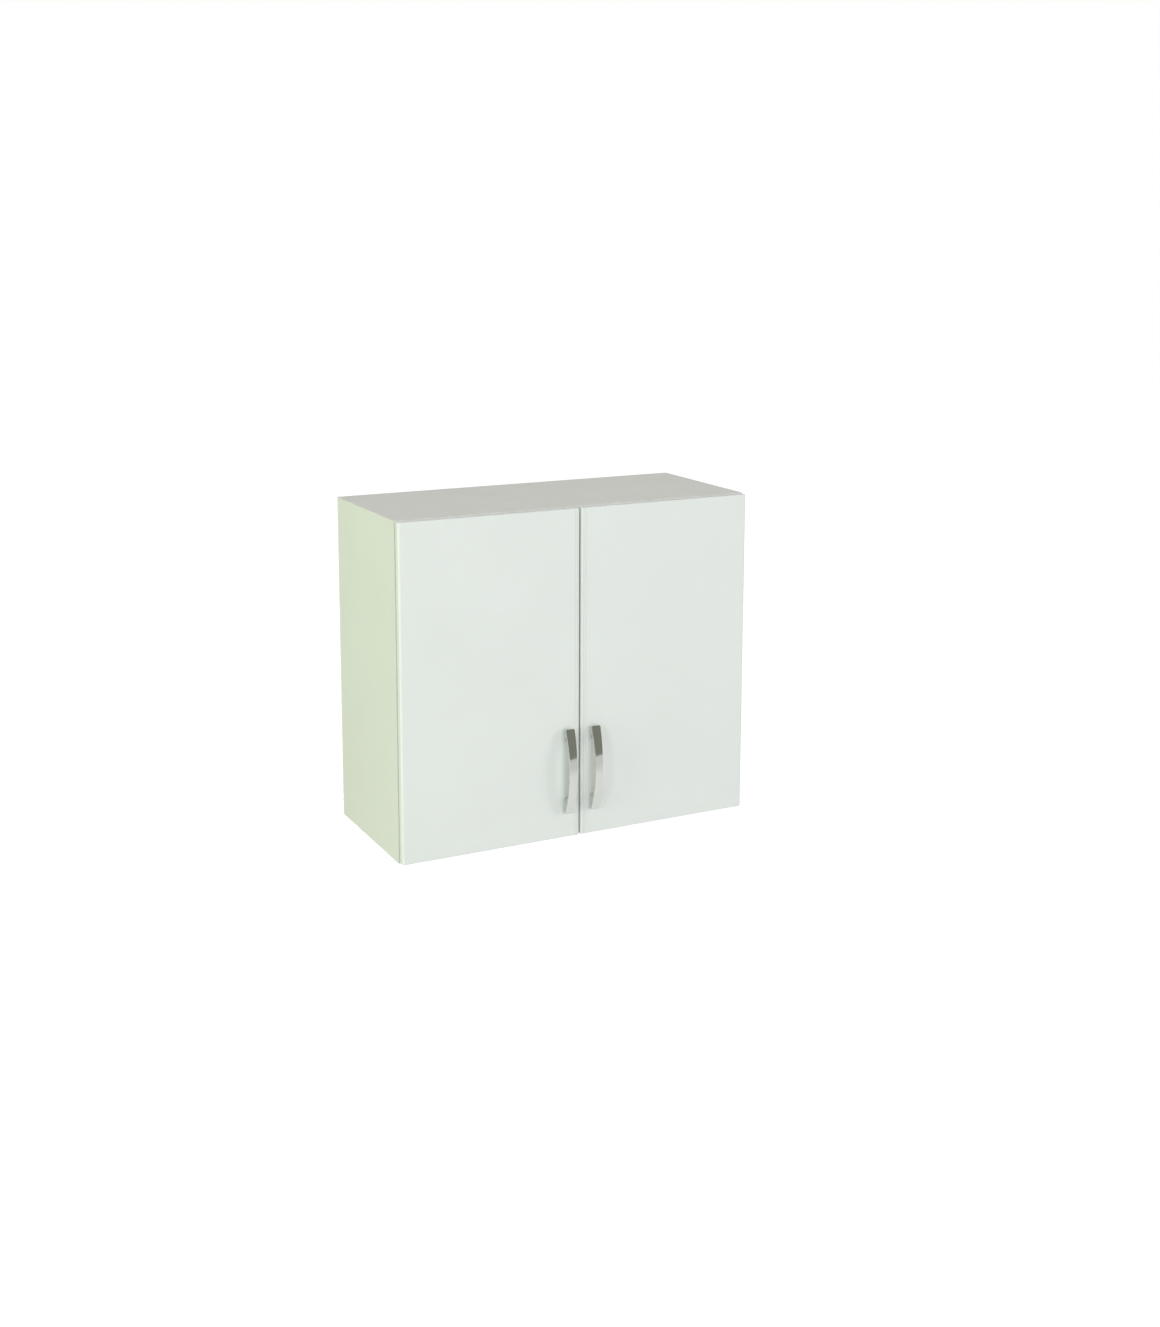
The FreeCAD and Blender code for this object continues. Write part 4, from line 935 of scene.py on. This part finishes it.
class CABINET_OT_hinge_pins(bpy.types.Operator):
    """Riveted pins through the hinge arms"""

    bl_idname = "cabinet.hinge_pins"
    bl_label = "Hinge Pins"

    def execute(self, context):
        pins = islands("hinge_arm_pins")
        width, _, length = pins[0][1] - pins[0][0]
        solidified("riveted_pins", riveted_pins, "carcass", "nickel_steel", "hinge_arm_pins",
                   [(start + end) / 2 for start, end in pins], radius=width / 2, length=length,
                   material=finish("zinc plate"))
        return {"FINISHED"}


class CABINET_OT_hinge_screws(bpy.types.Operator):
    """Screws in the hinge plates, arms and cups"""

    bl_idname = "cabinet.hinge_screws"
    bl_label = "Hinge Screws"

    def execute(self, context):
        sizes = context.scene.fitting_sizes
        points, aims = [], []
        for start, end in islands("hinge_plate_screws"):
            inward = 1 if start.x < 0 else -1
            head = end.x if inward > 0 else start.x
            points.append((head - inward * sizes.plate_rise, (start.y + end.y) / 2, (start.z + end.z) / 2))
            aims.append((inward, 0, 0))
        solidified("plate_screws", cross_headed_screws, "carcass", "nickel_steel", "hinge_plate_screws",
                   points, aims, head_radius=sizes.plate_head, head_height=sizes.plate_rise, top_share=0.73,
                   shank_radius=sizes.plate_shank, shank_length=sizes.plate_length, recess=sizes.recess,
                   material=finish("zinc plate"))
        for side in SIDES:
            node = "hinge_cup_screws_" + side
            solidified("cup_screws_" + side, cross_headed_screws, side + "_door", "nickel_steel", node,
                       [middle_at(box, box[1].y - sizes.cup_rise) for box in islands(node)], [REARWARD],
                       head_radius=sizes.cup_head, head_height=sizes.cup_rise, top_share=0.81,
                       shank_radius=sizes.cup_shank, shank_length=sizes.cup_length, recess=sizes.recess,
                       material=finish("zinc plate"))
        paint(finish("zinc plate"), "hinge_arm_screws")
        return {"FINISHED"}


class CABINET_OT_cam_caps(bpy.types.Operator):
    """White caps that hide the cams"""

    bl_idname = "cabinet.cam_caps"
    bl_label = "Cam Caps"

    def execute(self, context):
        sizes = context.scene.fitting_sizes
        points, aims = [], []
        for start, end in islands("cam_covers"):
            inward = 1 if end.z < centre("side_panel_left").z else -1
            face = end.z if inward > 0 else start.z
            points.append(((start.x + end.x) / 2, (start.y + end.y) / 2, face - inward * sizes.cap_rise))
            aims.append((0, 0, inward))
        solidified("cam_caps", round_caps, "carcass", "white_plastic", "cam_covers", points, aims,
                   radius=sizes.cap, thickness=sizes.cap_rise, material=finish("moulded plastic"))
        return {"FINISHED"}


class CABINET_OT_corner_fittings(bpy.types.Operator):
    """Dowels, cams and bolts that hold the corners"""

    bl_idname = "cabinet.corner_fittings"
    bl_label = "Corner Fittings"

    def execute(self, context):
        paint(finish("beech"), "wood_dowels")
        paint(finish("cast zinc"), "cam_locks")
        paint(finish("zinc plate"), "cam_bolts")
        return {"FINISHED"}


class CABINET_OT_shelf_supports(bpy.types.Operator):
    """Zinc-plated pins under the shelf"""

    bl_idname = "cabinet.shelf_supports"
    bl_label = "Shelf Supports"

    def execute(self, context):
        paint(finish("zinc plate"), "shelf_supports")
        return {"FINISHED"}


class CABINET_OT_hangers(bpy.types.Operator):
    """Hanger housings, hooks, their screws and the wall plates"""

    bl_idname = "cabinet.hangers"
    bl_label = "Hangers and Wall Plates"

    def execute(self, context):
        for side in SIDES:
            paint(finish("moulded plastic"), "hanger_housing_" + side)
            paint(finish("zinc plate"), "hanger_hook_" + side, "wall_plate_" + side)
        paint(finish("zinc plate"), "hanger_adjust_screws", "hanger_fixing_screws")
        return {"FINISHED"}


class CABINET_OT_studio(bpy.types.Operator):
    """Pale floor, soft lamps, room light and camera"""

    bl_idname = "cabinet.studio"
    bl_label = "Studio"

    def execute(self, context):
        studio = context.scene.studio_settings
        self.floor(context, studio)
        self.room(context, studio)
        for name, place, size, power, colour in (
            ("front left lamp", (-4.4, -3.5, 0.6), 0.6, studio.left_power, WHITE),
            ("front right lamp", (4.4, -3.5, 0.6), 1.9, studio.right_power, WHITE),
            ("front lamp", (-0.1, -4.9, 0.35), 2.6, studio.front_power, (0.95, 0.95, 1.0)),
            ("side lamp", (-3.6, -0.6, 0.2), 2.4, studio.side_power, (0.87, 0.98, 0.74)),
            ("top lamp", (0.2, -0.1, 3.2), 2.8, studio.top_power, (0.94, 0.88, 1.0)),
        ):
            self.lamp(context, name, place, size, power, colour)
        self.camera(context, studio)
        return {"FINISHED"}

    def floor(self, context, studio):
        """A wide round pale floor, white to the camera, that lights the cabinet a little from below."""
        radius, corners = 17.0, 96
        z = low("side_panel_left").z - studio.drop
        rim = []
        for i in range(corners):
            a = math.tau * i / corners
            rim.append((radius * math.cos(a), radius * math.sin(a), z))
        mesh = bpy.data.meshes.new("floor")
        mesh.from_pydata(rim, [], [range(corners)])
        floor = bpy.data.objects.new("floor", mesh)
        context.scene.collection.objects.link(floor)
        material, tree, shader = new_finish("pale floor", 0.85)
        shader.inputs["Base Color"].default_value = (*context.scene.cabinet_colours.floor, 1.0)
        shader.inputs["Emission Color"].default_value = (*WHITE, 1.0)
        path = add(tree, "ShaderNodeLightPath").outputs
        mirrored = ramp(tree, axes(tree, place_of(tree))["Y"], 0.5, 4.0, studio.floor_mirrored,
                        studio.far_mirrored)
        glow = maths(tree, "MAXIMUM", times(tree, path["Is Glossy Ray"], mirrored),
                     times(tree, path["Is Diffuse Ray"], studio.floor_glow))
        give(tree, shader, Emission_Strength=maths(tree, "MAXIMUM", path["Is Camera Ray"], glow))
        mesh.materials.append(material)

    def room(self, context, studio):
        """White to the camera; to the surfaces, pale below the horizon and greyer above it."""
        world = bpy.data.worlds.new("room")
        context.scene.world = world
        world.use_nodes = True
        tree = world.node_tree
        tree.nodes.clear()
        toward = axes(tree, add(tree, "ShaderNodeTexCoord").outputs["Generated"])
        in_front = ramp(tree, toward["Y"], 0.5, 0.0)
        upper_edge, lower_edge = -0.086, -0.098
        below = times(tree, ramp(tree, toward["Z"], upper_edge, lower_edge), in_front)
        lit = blend_colours(tree, below, studio.sky, studio.below)
        seen = add(tree, "ShaderNodeLightPath").outputs["Is Camera Ray"]
        tint = blend_colours(tree, seen, lit, WHITE)
        light = add(tree, "ShaderNodeBackground", {"Color": tint, "Strength": 1.0})
        give(tree, add(tree, "ShaderNodeOutputWorld"), Surface=light.outputs["Background"])

    def lamp(self, context, name, place, size, power, colour):
        """A square lamp that looks at the middle of the doors and stays out of reflections."""
        data = bpy.data.lights.new(name, "AREA")
        data.size = size
        data.energy = power
        data.color = colour
        lamp = bpy.data.objects.new(name, data)
        lamp.location = place
        target = centre("door_left") + Vector((half_width("door_left"), 0, 0))
        lamp.rotation_euler = (target - lamp.location).to_track_quat("-Z", "Y").to_euler()
        lamp.visible_glossy = False
        context.scene.collection.objects.link(lamp)

    def camera(self, context, studio):
        """The camera, aimed by azimuth, elevation and roll."""
        data = bpy.data.cameras.new("camera")
        data.sensor_width = 36.0
        data.sensor_fit = "AUTO"
        data.lens = studio.lens
        data.shift_y = studio.rise
        data.clip_end = 100.0
        camera = bpy.data.objects.new("camera", data)
        aim = Matrix.Rotation(studio.azimuth, 4, "Z") @ Matrix.Rotation(
            math.radians(90) - studio.elevation, 4, "X")
        camera.matrix_world = Matrix.Translation(studio.eye) @ aim @ Matrix.Rotation(studio.roll, 4, "Z")
        context.scene.collection.objects.link(camera)
        context.scene.camera = camera
        context.scene.view_settings.view_transform = "Standard"


class CABINET_PT_panel(bpy.types.Panel):
    """Lists the cabinet's pieces and settings"""

    bl_idname = "CABINET_PT_panel"
    bl_label = "Wall Cabinet"
    bl_space_type = "VIEW_3D"
    bl_region_type = "UI"
    bl_category = "Cabinet"

    def draw(self, context):
        for operator in OPERATORS:
            self.layout.operator(operator.bl_idname)
        for key, group in GROUPS.items():
            box = self.layout.box()
            for setting in group.__annotations__:
                box.prop(getattr(context.scene, key), setting)


OPERATORS = (
    CABINET_OT_boards,
    CABINET_OT_doors,
    CABINET_OT_handles,
    CABINET_OT_handle_screws,
    CABINET_OT_door_dots,
    CABINET_OT_hinges,
    CABINET_OT_hinge_pins,
    CABINET_OT_hinge_screws,
    CABINET_OT_cam_caps,
    CABINET_OT_corner_fittings,
    CABINET_OT_shelf_supports,
    CABINET_OT_hangers,
    CABINET_OT_studio,
)
GROUPS = {
    "cabinet_colours": CabinetColours,
    "handle_sizes": HandleSizes,
    "fitting_sizes": FittingSizes,
    "studio_settings": StudioSettings,
}
CLASSES = (*GROUPS.values(), *OPERATORS, CABINET_PT_panel)


def register():
    """Register the classes and hang the settings on the scene."""
    for cls in CLASSES:
        bpy.utils.register_class(cls)
    for key, group in GROUPS.items():
        setattr(bpy.types.Scene, key, bpy.props.PointerProperty(type=group))


def unregister():
    """Take the settings and the classes away again."""
    for key in GROUPS:
        delattr(bpy.types.Scene, key)
    for cls in reversed(CLASSES):
        bpy.utils.unregister_class(cls)


def main():
    """Build everything."""
    register()
    for cls in OPERATORS:
        area, name = cls.bl_idname.split(".")
        getattr(getattr(bpy.ops, area), name)()


if __name__ == "__main__":
    main()
